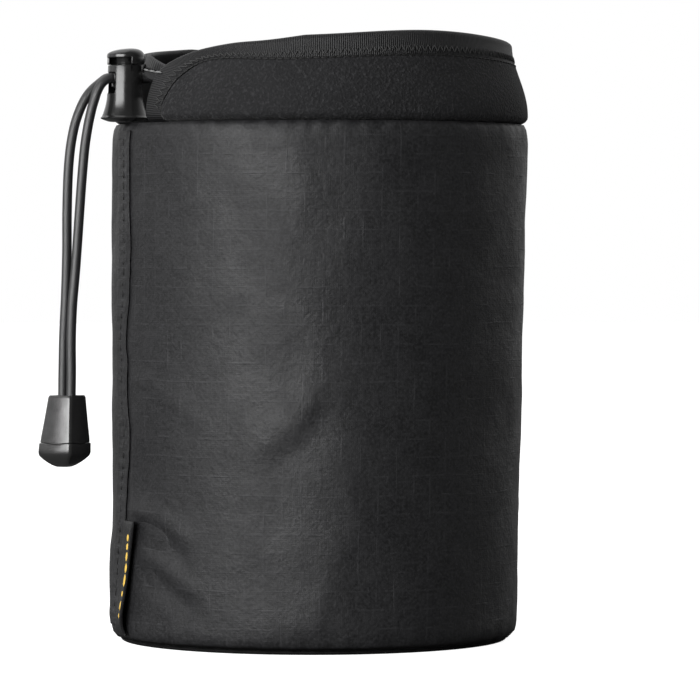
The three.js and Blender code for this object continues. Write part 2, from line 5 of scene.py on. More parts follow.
import bmesh
import bpy
from mathutils import Matrix, Vector, noise


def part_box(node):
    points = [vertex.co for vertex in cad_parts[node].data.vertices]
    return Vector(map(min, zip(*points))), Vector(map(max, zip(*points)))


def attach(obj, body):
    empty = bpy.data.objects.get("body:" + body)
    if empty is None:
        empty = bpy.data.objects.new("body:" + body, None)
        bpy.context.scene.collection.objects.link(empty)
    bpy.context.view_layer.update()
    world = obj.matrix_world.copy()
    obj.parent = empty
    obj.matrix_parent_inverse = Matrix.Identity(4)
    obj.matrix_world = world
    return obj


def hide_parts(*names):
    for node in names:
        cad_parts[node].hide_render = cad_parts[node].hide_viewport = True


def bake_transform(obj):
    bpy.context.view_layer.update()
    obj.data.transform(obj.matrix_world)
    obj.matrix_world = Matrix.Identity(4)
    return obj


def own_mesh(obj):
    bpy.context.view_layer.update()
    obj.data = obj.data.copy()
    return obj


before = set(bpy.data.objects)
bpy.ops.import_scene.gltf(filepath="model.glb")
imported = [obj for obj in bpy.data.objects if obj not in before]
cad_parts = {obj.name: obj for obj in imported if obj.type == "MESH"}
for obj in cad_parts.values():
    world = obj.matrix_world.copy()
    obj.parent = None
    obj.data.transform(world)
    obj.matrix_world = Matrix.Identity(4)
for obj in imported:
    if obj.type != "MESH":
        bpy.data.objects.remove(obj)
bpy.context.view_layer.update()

# Shapes are worked out in millimetres, and a finished piece is scaled to metres.
METRES = 0.001
JOIN_DISTANCE = 0.004


def node_box(node):
    low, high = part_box(node)
    return low / METRES, high / METRES


def node_centre(node):
    low, high = node_box(node)
    return (low + high) / 2


def node_heights(node):
    low, high = node_box(node)
    return low.z, high.z


# Sleeve
SLEEVE_RADIUS_LOW = 63.3
SLEEVE_RADIUS_HIGH = 64.8
SHELL_BOTTOM, SLEEVE_TOP = node_heights("outer_shell")
SHELL_THICKNESS = 0.6
PADDING_BOTTOM, PADDING_TOP = node_heights("side_padding")
PADDING_OFFSET = 0.9
PADDING_THICKNESS = 6
LINING_OFFSET = 7.2
LINING_THICKNESS = 0.5
LINING_BOTTOM = node_heights("side_lining")[0]
BOTTOM_ROLL_HEIGHT = 5.5
BOTTOM_ROLL_INSET = 2
SLEEVE_FOOT = 1.3
TOP_ROLL_HEIGHT = 7
TOP_ROLL_INSET = 1.4
# Steps round the pieces that show, and round those that don't
AROUND = 320
HIDDEN_AROUND = 160

# Collar, with heights above its foot and turns in degrees from the seam
COLLAR_FOOT = node_heights("collar_band")[0]
RIM_TOP = node_heights("rim_hem")[1]
COLLAR_FOOT_RADIUS = 64.6
RIM_RADIUS = 59.3
COLLAR_TUCK = 1.7
TUCK_HEIGHT = 2
COLLAR_BULGE = 0.5
COLLAR_MARGIN = 0.05
BAND_THICKNESS = 1.8
COLLAR_LINING_OFFSET = 2.1
COLLAR_LINING_THICKNESS = 0.9
HEM_THICKNESS = 4.6

# Places
SEAM_BEARING = -68
LOCK_CENTRE = node_centre("lock_housing")
LOCK_FOOT, LOCK_RIM = node_heights("lock_housing")
BELL_CENTRE = node_centre("cord_end_shell")
BELL_BOTTOM, BELL_TOP = node_heights("cord_end_shell")
BOSS_TOP = node_heights("cord_end_plug")[1]
EXIT_HEIGHT = 174.2
CORD_DIAMETER = 3
CORD_SPACING = 3.3

# The soft pouch stands leaning a little to the right, and the cord end hangs a little askew:
# how far sideways for each step up, and the height that stays in place
POUCH_LEAN = (0.0131, 80)
CORD_END_LEAN = (0.045, BELL_TOP)


def outward(bearing):
    angle = math.radians(bearing)
    return Vector((math.sin(angle), -math.cos(angle), 0))


def bearing_of(point):
    return math.degrees(math.atan2(point.x, -point.y))


def at_height(place, height):
    return Vector((place.x, place.y, height))


def spot(bearing, radius, height):
    return at_height(outward(bearing) * radius, height)


def clamp(value):
    return min(max(value, 0), 1)


def blend(low, high, share):
    return low + (high - low) * share


def eased(share):
    share = clamp(share)
    return share * share * (3 - 2 * share)


def fading(distance, reach):
    """1 at a place, and less with the distance from it."""
    return math.exp(-((distance / reach) ** 2))


def squarish(value, power):
    """A sine or cosine that stays near its ends for longer, which makes a circle squarer."""
    return math.copysign(abs(value) ** power, value)


def smooth_between(t, low, rise_low, high, rise_high):
    """A smooth curve from low to high that has the given rises at its ends."""
    curve = (2 * t**3 - 3 * t**2 + 1) * low + (t**3 - 2 * t**2 + t) * rise_low
    return curve + (3 * t**2 - 2 * t**3) * high + (t**3 - t**2) * rise_high


def along(stations, place):
    """The values at a place between stations, each a place followed by its values, on a smooth curve."""
    last = len(stations) - 1
    upper = next((i for i in range(1, last + 1) if stations[i][0] >= place), last)
    before, low, high = stations[max(upper - 2, 0)], stations[upper - 1], stations[upper]
    after = stations[min(upper + 1, last)]
    span = high[0] - low[0]
    t = clamp((place - low[0]) / span)
    values = []
    for k in range(1, len(low)):
        rise_low = (high[k] - before[k]) / (high[0] - before[0]) * span
        rise_high = (after[k] - low[k]) / (after[0] - low[0]) * span
        values.append(smooth_between(t, low[k], rise_low, high[k], rise_high))
    return values


def placed(name, data):
    made = bpy.data.objects.new(name, data)
    bpy.context.scene.collection.objects.link(made)
    return made


# Camera
LENS = 230.4
SENSOR_WIDTH = 36
CAMERA_PLACE = Vector((0.0103, -1.40, 0.1214))
CAMERA_PITCH = -1.279


def make_camera():
    data = bpy.data.cameras.new("camera")
    data.lens = LENS
    data.sensor_width = SENSOR_WIDTH
    camera = placed("camera", data)
    camera.location = CAMERA_PLACE
    camera.rotation_euler = (math.radians(90 + CAMERA_PITCH), 0, 0)
    bpy.context.scene.camera = camera


make_camera()


# Making pieces
def leaning(point, lean=POUCH_LEAN):
    rate, level = lean
    return point + Vector((rate * (point.z - level), 0, 0))


def mesh_object(name, mesh):
    data = bpy.data.meshes.new(name)
    mesh.to_mesh(data)
    mesh.free()
    return placed(name, data)


def piece(name, mesh, material, slot, *replaced, body="pouch", lean=POUCH_LEAN, sharp_from=None):
    """Closes a mesh, turns it outwards, leans it and scales it to metres. It rides on the body, if any."""
    bmesh.ops.remove_doubles(mesh, verts=mesh.verts, dist=JOIN_DISTANCE)
    bmesh.ops.recalc_face_normals(mesh, faces=mesh.faces)
    for vertex in mesh.verts:
        vertex.co = leaning(vertex.co, lean)
    bmesh.ops.scale(mesh, vec=(METRES, METRES, METRES), verts=mesh.verts)
    for face in mesh.faces:
        face.smooth = True
    made = mesh_object(name, mesh)
    made.data.materials.append(material)
    if sharp_from:
        made.data.set_sharp_from_angle(angle=math.radians(sharp_from))
    if body:
        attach(made, body)
    if replaced:
        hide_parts(*replaced)
    return made


def laid(columns, rows, place, width, height):
    """A grid whose corners place(u, v) lays on a surface. Its UV map is in metres."""
    mesh = bmesh.new()
    uv = mesh.loops.layers.uv.new("UVMap")
    bmesh.ops.create_grid(mesh, x_segments=columns, y_segments=rows, size=0.5)
    for face in mesh.faces:
        for loop in face.loops:
            share = loop.vert.co + Vector((0.5, 0.5, 0))
            loop[uv].uv = (share.x * width * METRES, share.y * height * METRES)
    for vertex in mesh.verts:
        vertex.co = place(vertex.co.x + 0.5, vertex.co.y + 0.5)
    bmesh.ops.remove_doubles(mesh, verts=mesh.verts, dist=JOIN_DISTANCE)
    return mesh


def capped(mesh):
    edges = [edge for edge in mesh.edges if edge.is_boundary]
    bmesh.ops.holes_fill(mesh, edges=edges, sides=0)
    return mesh


def turned(profile, steps=AROUND, closed=True, start=0, span=360):
    """A profile of (radius, height) points spun about +Z. Its UV map is in metres, round and up."""
    mesh = bmesh.new()
    ring = [mesh.verts.new(spot(start, radius, height)) for radius, height in profile]
    edges = [mesh.edges.new(pair) for pair in zip(ring, ring[1:])]
    if closed:
        edges.append(mesh.edges.new((ring[-1], ring[0])))
    bmesh.ops.spin(
        mesh, geom=ring + edges, cent=(0, 0, 0), axis=(0, 0, 1), dvec=(0, 0, 0),
        angle=math.radians(span), steps=steps, use_merge=span == 360, use_duplicate=False,
    )
    bmesh.ops.remove_doubles(mesh, verts=mesh.verts, dist=JOIN_DISTANCE)
    uv = mesh.loops.layers.uv.new("UVMap")
    for face in mesh.faces:
        middle = bearing_of(face.calc_center_median())
        for loop in face.loops:
            bearing = bearing_of(loop.vert.co)
            bearing += 360 * round((middle - bearing) / 360)
            loop[uv].uv = (math.radians(bearing) * SLEEVE_RADIUS_LOW * METRES, loop.vert.co.z * METRES)
    return mesh


def moved(mesh, place):
    for vertex in mesh.verts:
        vertex.co += Vector((place.x, place.y, 0))
    return mesh


def bevelled(mesh, width, segments, least_angle):
    sharp = [
        edge
        for edge in mesh.edges
        if len(edge.link_faces) == 2 and math.degrees(edge.calc_face_angle(0)) > least_angle
    ]
    bmesh.ops.bevel(
        mesh, geom=sharp, offset=width, offset_type="OFFSET", segments=segments, profile=0.5,
        affect="EDGES", clamp_overlap=True, material=-1,
    )
    return mesh


def carved(mesh, *cutters):
    """The mesh with each cutter's solid taken out of it."""
    objects = []
    for solid in (mesh, *cutters):
        bmesh.ops.recalc_face_normals(solid, faces=solid.faces)
        objects.append(mesh_object("carving", solid))
    body = objects[0]
    for cutter in objects[1:]:
        cut = body.modifiers.new("cut", "BOOLEAN")
        cut.operation = "DIFFERENCE"
        cut.solver = "EXACT"
        cut.object = cutter
    bpy.context.view_layer.update()
    evaluated = body.evaluated_get(bpy.context.evaluated_depsgraph_get())
    result = bmesh.new()
    result.from_mesh(evaluated.to_mesh())
    evaluated.to_mesh_clear()
    for used in objects:
        bpy.data.meshes.remove(used.data)
    return result


# Cords. A free strand is given by how far out of the lock and how far below its mouth it is.
STRAND_START = 4.9
FRONT_STRAND = [
    (5.9, 0.2), (7.2, 0.9), (8.5, 2.2), (9.7, 4.4), (10.5, 6.8), (11.2, 9.1),
    (11.8, 11.6), (12.5, 15), (13.4, 21), (14.1, 29), (14.7, 38), (15.3, 48),
    (16, 59), (16.85, 70), (17.1, 80), (16.95, 90), (16.95, 96.2), (16.95, 100.2),
]
BACK_STRAND = [
    (6, 0.4), (7.2, 1.3), (8.6, 2.4), (10, 3.6), (11.3, 5), (12.6, 6.9),
    (13.8, 9.3), (15, 12.4), (16, 16), (17, 22), (17.6, 30), (17.8, 42),
    (17.7, 53), (17.9, 66), (18.35, 79), (18.45, 90), (18.45, 96.2), (18.45, 100.2),
]
STRANDS = (("front_strand", 1, FRONT_STRAND), ("back_strand", -1, BACK_STRAND))
# Two distances out of the lock; make_cords finds a point out of the lock at each, and does not use them
STRAND_BEND = (5.2, 9.8)
# Half of the cord's way from the lock to the hem: across and out, then turns and heights in the lapel
INSIDE_LOCK = (4.6, 2.2, -2.2)
MOUTH_RUN = [(1.75, -6.7), (2.7, -8.1), (4.6, -8.2), (6.7, -6.9), (8.9, -5.6), (11.4, -4.9)]
LAPEL_RUN = [(14.6, 13.7), (17.4, 14.2), (20.8, 15.4), (25, 17), (30, 18.6), (37, 20.2), (46, 21.4)]
LEVEL_TURNS = range(60, 301, 8)
CHANNEL_DROP = 3.6
BRAID_BUMPS = 8
BRAID_PITCH = 11
BRAID_DEPTH = 0.08
BRAID_LEVEL = 0.6
BRAID_STEP = 0.35
LOOP_STEP = 0.5
CORD_SIDES = 32


def beside(across, out, height):
    """A place by the lock: along the hem, outwards from the lock's axis, and at a height."""
    place = LOCK_CENTRE + outward(SEAM_BEARING + 90) * across + outward(SEAM_BEARING) * out
    return at_height(place, height)


def collar_radius(height):
    above = max(height - COLLAR_FOOT, 0)
    share = clamp(above / (RIM_TOP - COLLAR_FOOT))
    tuck = COLLAR_TUCK * max(1 - above / TUCK_HEIGHT, 0) ** 2
    lean = eased((share - COLLAR_MARGIN) / (1 - 2 * COLLAR_MARGIN))
    return blend(COLLAR_FOOT_RADIUS, RIM_RADIUS, lean) + COLLAR_BULGE * math.sin(math.pi * share) - tuck


def in_hem(turn, height):
    return spot(SEAM_BEARING + turn, collar_radius(height) - HEM_THICKNESS / 2, height)


def strand_route(side, stations):
    half = side * CORD_SPACING / 2
    route = [beside(half, STRAND_START, EXIT_HEIGHT)]
    return route + [beside(half, out, EXIT_HEIGHT - drop) for out, drop in stations]


def loop_route():
    def half(side):
        spacing = side * CORD_SPACING / 2
        lock = [beside(spacing, out, EXIT_HEIGHT) for out in INSIDE_LOCK]
        mouth = [beside(side * across, out, EXIT_HEIGHT) for across, out in MOUTH_RUN]
        return lock + mouth + [in_hem(side * turn, COLLAR_FOOT + up) for turn, up in LAPEL_RUN]

    level = [in_hem(turn, RIM_TOP - CHANNEL_DROP) for turn in LEVEL_TURNS]
    return half(1) + level + half(-1)[::-1]


def smooth_route(route, step):
    """Points a step apart on a smooth curve through the route."""
    points = []
    for i in range(len(route) - 1):
        before, low, high = route[max(i - 1, 0)], route[i], route[i + 1]
        after = route[min(i + 2, len(route) - 1)]
        reach = (high - low).length
        pull_low = (high - before) * reach / (reach + (low - before).length)
        pull_high = (after - low) * reach / (reach + (after - high).length)
        count = max(round(reach / step), 1)
        points += [smooth_between(k / count, low, pull_low, high, pull_high) for k in range(count)]
    return points + [route[-1]]


def rings_along(points):
    """For each point, its place, two directions across the route there, and the length so far."""
    rings = []
    side = (points[1] - points[0]).orthogonal().normalized()
    length = 0
    for i, point in enumerate(points):
        ahead = (points[min(i + 1, len(points) - 1)] - points[max(i - 1, 0)]).normalized()
        side = (side - ahead * side.dot(ahead)).normalized()
        if i:
            length += (point - points[i - 1]).length
        rings.append((point, side.copy(), ahead.cross(side), length))
    return rings


def braided(route, step=BRAID_STEP):
    """A round cord whose sheath has the low diamonds of a braid."""
    rings = rings_along(smooth_route(route, step))
    last = len(rings) - 1

    def place(u, v):
        point, side, up, length = rings[round(v * last)]
        angle = 2 * math.pi * u
        twist = 2 * math.pi * length / BRAID_PITCH
        diamonds = math.cos(BRAID_BUMPS * (angle + twist)) * math.cos(BRAID_BUMPS * (angle - twist))
        radius = CORD_DIAMETER / 2 + BRAID_DEPTH * (diamonds - BRAID_LEVEL)
        return point + (side * math.cos(angle) + up * math.sin(angle)) * radius

    return capped(laid(CORD_SIDES, last, place, math.pi * CORD_DIAMETER, rings[-1][3]))


# Materials
class Finish:
    """A procedural material. Each method adds a node and returns its output."""

    def __init__(self, name, colour, roughness, **constants):
        self.material = bpy.data.materials.new(name)
        self.material.use_nodes = True
        self.tree = self.material.node_tree
        self.shader = self.tree.nodes["Principled BSDF"]
        self.shader.inputs["Base Color"].default_value = (*colour, 1)
        self.shader.inputs["Roughness"].default_value = roughness
        for socket, value in constants.items():
            self.shader.inputs[socket.replace("_", " ")].default_value = value
        uv = self.add("ShaderNodeUVMap")
        uv.uv_map = "UVMap"
        self.uv = uv.outputs["UV"]
        self.object = self.add("ShaderNodeTexCoord").outputs["Object"]

    def add(self, kind, **settings):
        node = self.tree.nodes.new(kind)
        for setting, value in settings.items():
            setattr(node, setting, value)
        return node

    def feed(self, socket, value):
        if isinstance(value, bpy.types.NodeSocket):
            self.tree.links.new(value, socket)
        else:
            socket.default_value = value

    def math(self, operation, first, second=0.0):
        node = self.add("ShaderNodeMath", operation=operation)
        self.feed(node.inputs[0], first)
        self.feed(node.inputs[1], second)
        return node.outputs[0]

    def plus(self, first, second):
        return self.math("ADD", first, second)

    def times(self, first, second):
        return self.math("MULTIPLY", first, second)

    def ranged(self, value, low, high, to_low=0.0, to_high=1.0):
        node = self.add("ShaderNodeMapRange", interpolation_type="SMOOTHSTEP")
        for socket, number in zip(node.inputs, (value, low, high, to_low, to_high)):
            self.feed(socket, number)
        return node.outputs[0]

    def noise(self, coordinate, size, detail=2.0):
        node = self.add("ShaderNodeTexNoise")
        self.feed(node.inputs["Vector"], coordinate)
        node.inputs["Scale"].default_value = 1 / (size * METRES)
        node.inputs["Detail"].default_value = detail
        return node.outputs["Fac"]

    def cells(self, coordinate, size):
        node = self.add("ShaderNodeTexVoronoi")
        self.feed(node.inputs["Vector"], coordinate)
        node.inputs["Scale"].default_value = 1 / (size * METRES)
        return node.outputs["Distance"]

    def split(self, vector):
        node = self.add("ShaderNodeSeparateXYZ")
        self.feed(node.inputs[0], vector)
        return node.outputs

    def wave(self, coordinate, pitch):
        """From 0 to 1 and back, once a pitch in millimetres."""
        turn = self.times(coordinate, 2 * math.pi / (pitch * METRES))
        return self.plus(self.times(self.math("SINE", turn), 0.5), 0.5)

    def thread_line(self, coordinate, pitch, width):
        """1 on thin lines a pitch apart, 0 between them."""
        share = self.math("FRACT", self.math("DIVIDE", coordinate, pitch * METRES))
        off = self.math("ABSOLUTE", self.math("SUBTRACT", share, 0.5))
        return self.ranged(off, 0.3 * width / pitch, 0.7 * width / pitch, 1.0, 0.0)

    def mixed(self, share, low, high):
        node = self.add("ShaderNodeMix", data_type="RGBA")
        self.feed(node.inputs["Factor"], share)
        self.feed(node.inputs["A"], (*low, 1) if isinstance(low, tuple) else low)
        self.feed(node.inputs["B"], (*high, 1) if isinstance(high, tuple) else high)
        return node.outputs["Result"]

    def colour(self, value):
        self.feed(self.shader.inputs["Base Color"], value)

    def roughness(self, value):
        self.feed(self.shader.inputs["Roughness"], value)

    def relief(self, height, depth):
        node = self.add("ShaderNodeBump")
        node.inputs["Strength"].default_value = 1
        node.inputs["Distance"].default_value = depth * METRES
        self.feed(node.inputs["Height"], height)
        self.feed(self.shader.inputs["Normal"], node.outputs[0])


RIPSTOP_PITCH = 5.7
RIPSTOP_LINE = 0.5
RIPSTOP_WEAVE = 0.62
RIPSTOP_DRIFT = 0.0016
HEM_RIBS = 0.66
YARN_PITCH = 0.59
YARN_SLANT = 0.8


def ripstop():
    """Dark satin nylon: a plain weave, and raised threads in a square grid that fade in and out."""
    cloth = Finish("ripstop", (0.007, 0.007, 0.0076), 0.52, Specular_IOR_Level=0.36)
    across, up, _ = cloth.split(cloth.uv)
    drift = cloth.noise(cloth.uv, 30, 1.0)
    across = cloth.plus(across, cloth.times(drift, RIPSTOP_DRIFT))
    up = cloth.plus(up, cloth.times(drift, RIPSTOP_DRIFT))
    upright = cloth.thread_line(across, RIPSTOP_PITCH, RIPSTOP_LINE)
    level = cloth.thread_line(up, RIPSTOP_PITCH, RIPSTOP_LINE)
    upright = cloth.times(upright, cloth.ranged(cloth.noise(cloth.uv, 11), 0.46, 0.66))
    level = cloth.times(level, cloth.ranged(cloth.noise(cloth.object, 6, 3.0), 0.44, 0.64))
    faded = cloth.math("MAXIMUM", upright, level)
    weave = cloth.times(cloth.wave(across, RIPSTOP_WEAVE), cloth.wave(up, RIPSTOP_WEAVE))
    grain = cloth.noise(cloth.uv, 0.9, 3.0)
    mottle = cloth.noise(cloth.object, 2.6, 3.0)
    cloudy = cloth.noise(cloth.object, 14, 3.0)
    tone = cloth.mixed(cloudy, (0.004, 0.004, 0.0044), (0.0095, 0.0095, 0.0103))
    tone = cloth.mixed(cloth.ranged(mottle, 0.4, 0.65), tone, (0.012, 0.012, 0.013))
    tone = cloth.mixed(cloth.ranged(grain, 0.35, 0.75), tone, (0.02, 0.02, 0.0215))
    cloth.colour(cloth.mixed(cloth.times(faded, 0.45), tone, (0.03, 0.03, 0.032)))
    height = cloth.plus(cloth.times(weave, 0.12), cloth.times(faded, 0.3))
    height = cloth.plus(height, cloth.times(mottle, 2.0))
    cloth.relief(cloth.plus(height, cloth.times(grain, 0.8)), 0.12)
    cloth.roughness(cloth.ranged(cloudy, 0.3, 0.7, 0.52, 0.64))
    return cloth.material


def knit():
    """Matte stretch knit with a fuzzy, speckled face."""
    cloth = Finish("stretch_knit", (0.012, 0.012, 0.013), 0.85, Specular_IOR_Level=0.25, Sheen_Weight=0.06)
    cloth.shader.inputs["Sheen Roughness"].default_value = 0.4
    speckle = cloth.ranged(cloth.noise(cloth.object, 0.9, 4.0), 0.45, 0.75)
    loops = cloth.cells(cloth.object, 0.8)
    tone = cloth.mixed(cloth.noise(cloth.object, 9), (0.007, 0.007, 0.0077), (0.013, 0.013, 0.014))
    cloth.colour(cloth.mixed(cloth.times(speckle, 0.65), tone, (0.036, 0.036, 0.038)))
    cloth.relief(cloth.plus(loops, cloth.times(speckle, 0.8)), 0.2)
    return cloth.material


def ribbed():
    """The hem's knit tape, with fine ribs square to its length."""
    cloth = Finish("ribbed_tape", (0.01, 0.01, 0.0108), 0.55, Specular_IOR_Level=0.32)
    run, _, _ = cloth.split(cloth.uv)
    ribs = cloth.wave(cloth.plus(run, cloth.times(cloth.noise(cloth.uv, 4, 1.0), 0.0004)), HEM_RIBS)
    rough = cloth.noise(cloth.uv, 0.8, 3.0)
    tone = cloth.mixed(rough, (0.003, 0.003, 0.0033), (0.009, 0.009, 0.0097))
    cloth.colour(cloth.mixed(cloth.times(ribs, 0.45), tone, (0.017, 0.017, 0.018)))
    cloth.relief(cloth.plus(ribs, cloth.times(rough, 0.5)), 0.12)
    return cloth.material


def brushed_lining():
    cloth = Finish("brushed_lining", (0.03, 0.03, 0.032), 0.85, Specular_IOR_Level=0.2, Sheen_Weight=0.15)
    nap = cloth.noise(cloth.uv, 0.7, 3.0)
    patches = cloth.noise(cloth.object, 18)
    tone = cloth.mixed(patches, (0.022, 0.022, 0.0235), (0.036, 0.036, 0.038))
    cloth.colour(cloth.mixed(cloth.times(nap, 0.5), tone, (0.055, 0.055, 0.058)))
    cloth.relief(nap, 0.1)
    return cloth.material


def tape():
    """Narrow woven tape round the base."""
    cloth = Finish("binding_tape", (0.005, 0.005, 0.0054), 0.8, Specular_IOR_Level=0.2)
    across, up, _ = cloth.split(cloth.uv)
    weave = cloth.times(cloth.wave(across, 0.8), cloth.wave(up, 0.5))
    cloth.colour(cloth.mixed(weave, (0.003, 0.003, 0.0032), (0.008, 0.008, 0.0084)))
    cloth.relief(weave, 0.1)
    return cloth.material


def foam_finish():
    foam = Finish("closed_cell_foam", (0.03, 0.03, 0.032), 0.95)
    pores = foam.cells(foam.object, 0.7)
    foam.colour(foam.mixed(pores, (0.018, 0.018, 0.019), (0.045, 0.045, 0.047)))
    foam.relief(pores, 0.1)
    return foam.material


def braid_finish():
    """Braided sheath: the yarns' ridges are raised, with a painted sheen on them and painted shade between
    them.
    """
    cloth = Finish("cord_braid", (0.008, 0.008, 0.0088), 0.36, Specular_IOR_Level=0.8)
    around, run, _ = cloth.split(cloth.uv)
    left = cloth.wave(cloth.plus(around, cloth.times(run, YARN_SLANT)), YARN_PITCH)
    right = cloth.wave(cloth.math("SUBTRACT", around, cloth.times(run, YARN_SLANT)), YARN_PITCH)
    yarn_ridges_and_painted_sheen = cloth.math("MAXIMUM", left, cloth.times(right, 0.7))
    fuzz = cloth.noise(cloth.uv, 0.35)
    # Painted sheen on the yarns and painted shade in the gaps between them
    tone = cloth.mixed(yarn_ridges_and_painted_sheen, (0.001, 0.001, 0.0011), (0.02, 0.02, 0.0214))
    cloth.colour(cloth.mixed(cloth.times(fuzz, 0.2), tone, (0.03, 0.03, 0.032)))
    cloth.relief(cloth.plus(yarn_ridges_and_painted_sheen, cloth.times(fuzz, 0.3)), 0.05)
    return cloth.material


def twisted(name, low, high, roughness=0.6, gloss=0.35):
    """Thread, with the low colour between its twists and the high one on them."""
    thread = Finish(name, high, roughness, Specular_IOR_Level=gloss)
    twist = thread.noise(thread.object, 0.3)
    thread.colour(thread.mixed(twist, low, high))
    thread.relief(twist, 0.05)
    return thread.material


def grey_thread(name, tone):
    return twisted(name, (tone * 0.6,) * 3, (tone * 1.5,) * 3)


def moulded(name, tone, roughness, gloss, speck):
    """Moulded plastic: a slightly uneven gloss, the faint flow of the mould, and fine handling dust."""
    plastic = Finish(name, (tone, tone, tone * 1.06), roughness, Specular_IOR_Level=gloss)
    flow = plastic.noise(plastic.object, 3, 3.0)
    dust = plastic.ranged(plastic.noise(plastic.object, 0.25, 4.0), 0.62, 0.8)
    body = plastic.mixed(flow, (tone * 0.9,) * 3, (tone * 1.15,) * 3)
    plastic.colour(plastic.mixed(plastic.times(dust, speck), body, (0.1, 0.1, 0.1)))
    plastic.roughness(plastic.ranged(flow, 0.3, 0.7, roughness * 0.85, roughness * 1.2))
    plastic.relief(plastic.plus(flow, plastic.times(dust, 0.2)), 0.02)
    return plastic.material


def steel_finish():
    steel = Finish("spring_steel", (0.6, 0.61, 0.63), 0.3, Metallic=1.0)
    drawn = steel.noise(steel.object, 0.4)
    steel.colour(steel.mixed(drawn, (0.5, 0.51, 0.53), (0.68, 0.69, 0.71)))
    steel.roughness(steel.ranged(drawn, 0.3, 0.7, 0.22, 0.38))
    return steel.material


def board_finish():
    board = Finish("stiffener_board", (0.3, 0.3, 0.29), 0.55)
    fibre = board.noise(board.object, 1.5, 3.0)
    board.colour(board.mixed(fibre, (0.24, 0.24, 0.23), (0.36, 0.36, 0.35)))
    board.relief(fibre, 0.03)
    return board.material


def satin_ribbon():
    ribbon = Finish("label_ribbon", (0.006, 0.006, 0.0065), 0.45, Specular_IOR_Level=0.35)
    across, _, _ = ribbon.split(ribbon.uv)
    ribs = ribbon.wave(across, 0.35)
    ribbon.colour(ribbon.mixed(ribs, (0.004, 0.004, 0.0044), (0.012, 0.012, 0.0128)))
    ribbon.relief(ribs, 0.04)
    return ribbon.material


RIPSTOP = ripstop()
KNIT = knit()
RIBBED = ribbed()
LINING = brushed_lining()
TAPE = tape()
FOAM = foam_finish()
BRAID = braid_finish()
SEAM_THREAD = grey_thread("seam_thread", 0.006)
HEM_THREAD = grey_thread("hem_thread", 0.028)
# Light grey thread along the front lip's top edge: its light colour is a painted highlight of the lit edge
LIP_HIGHLIGHT_THREAD = grey_thread("mouth_edge_painted_highlight", 0.16)
YELLOW_THREAD = twisted("yellow_thread", (0.62, 0.36, 0.03), (0.95, 0.66, 0.14), 0.5, 0.3)
LOCK_PLASTIC = moulded("lock_plastic", 0.012, 0.2, 0.6, 0.02)
CORD_END_PLASTIC = moulded("cord_end_plastic", 0.018, 0.22, 0.8, 0.04)


def make_cords():
    """The free strands, which bend just outside the lock, and the drawcord in the hem."""
    low, high = (leaning(beside(0, out, EXIT_HEIGHT)) * METRES for out in STRAND_BEND)
    strands = []
    for name, side, stations in STRANDS:
        mesh = braided(strand_route(side, stations))
        strand = piece(name, mesh, BRAID, "cord_braid", "drawcord_" + name, body=None)
        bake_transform(strand)
        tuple(low)
        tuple(high)
        strands.append(strand)
    piece("drawcord", braided(loop_route(), LOOP_STEP), BRAID, "cord_braid", "drawcord_loop")
    return strands


def declare_cords(strands, end_pieces):
    for strand, (_, side, stations) in zip(strands, STRANDS):
        route = [leaning(point) for point in smooth_route(strand_route(side, stations), 1)]


# Sleeve wall
def cone_radius(height):
    return blend(SLEEVE_RADIUS_LOW, SLEEVE_RADIUS_HIGH, height / SLEEVE_TOP)


def rolled_in(share, inset):
    return inset * (1 - math.sqrt(1 - clamp(share) ** 2))


def sleeve_radius(height):
    low = 1 - (height - SLEEVE_FOOT) / BOTTOM_ROLL_HEIGHT
    high = 1 - (SLEEVE_TOP - height) / TOP_ROLL_HEIGHT
    return cone_radius(height) - rolled_in(low, BOTTOM_ROLL_INSET) - rolled_in(high, TOP_ROLL_INSET)


# Folds in the cloth: how far they stand out, their half width, their kind, and their way over the sleeve
SHARP, SOFT = "sharp", "soft"
FOLDS = [
    (0.7, 13, SHARP, [(-6, 154), (-3, 138), (-8, 122), (-4, 104), (2, 95), (2, 82), (-2, 72)]),
    (1.0, 11, SHARP, [(7, 57), (12, 38), (5, 28), (0, 10)]),
    (0.45, 4.5, SOFT, [(-3, 76), (-7, 69), (-13, 64)]),
    (-0.6, 4.5, SOFT, [(2, 70), (-4, 62), (-10, 56)]),
    (0.8, 7, SOFT, [(-83, 27), (-84, 18), (-81, 9)]),
    (-0.5, 7, SOFT, [(-84, 62), (-84, 40)]),
    (0.8, 3, SOFT, [(-57, 42), (-46, 40), (-38, 35)]),
    (-0.85, 3.5, SOFT, [(-56, 36), (-47, 33), (-39, 28)]),
    (0.7, 3, SOFT, [(-53, 28), (-44, 25), (-37, 20)]),
    (-0.85, 3.5, SOFT, [(-52, 22), (-44, 18), (-37, 14)]),
    (0.35, 3, SOFT, [(-57, 82), (-46, 78), (-34, 71)]),
    (-0.7, 5, SOFT, [(-53, 66), (-54, 56), (-55, 48)]),
    (0.5, 1.8, SOFT, [(-60, 62), (-60.5, 52), (-60, 42)]),
    (-0.4, 7, SOFT, [(-50, 150), (-48, 138), (-44, 128)]),
    (-0.35, 8, SOFT, [(4, 150), (3, 136), (0, 124)]),
    (0.3, 6, SOFT, [(-30, 20), (-22, 30), (-16, 46)]),
]
FOLD_REACH = 3.5
FOLD_CREST = 1.5
FOLD_MARGIN = 6
HIDDEN_FOLDS = 16
HIDDEN_BEARINGS = (95, 280)
HIDDEN_HEIGHTS = (15, 140)
ARC_PER_DEGREE = math.radians(SLEEVE_RADIUS_LOW)
# The cloth's unevenness: depths, and the sizes of their swells
SWELLS = [(0.4, 26), (0.16, 9), (0.05, 4)]


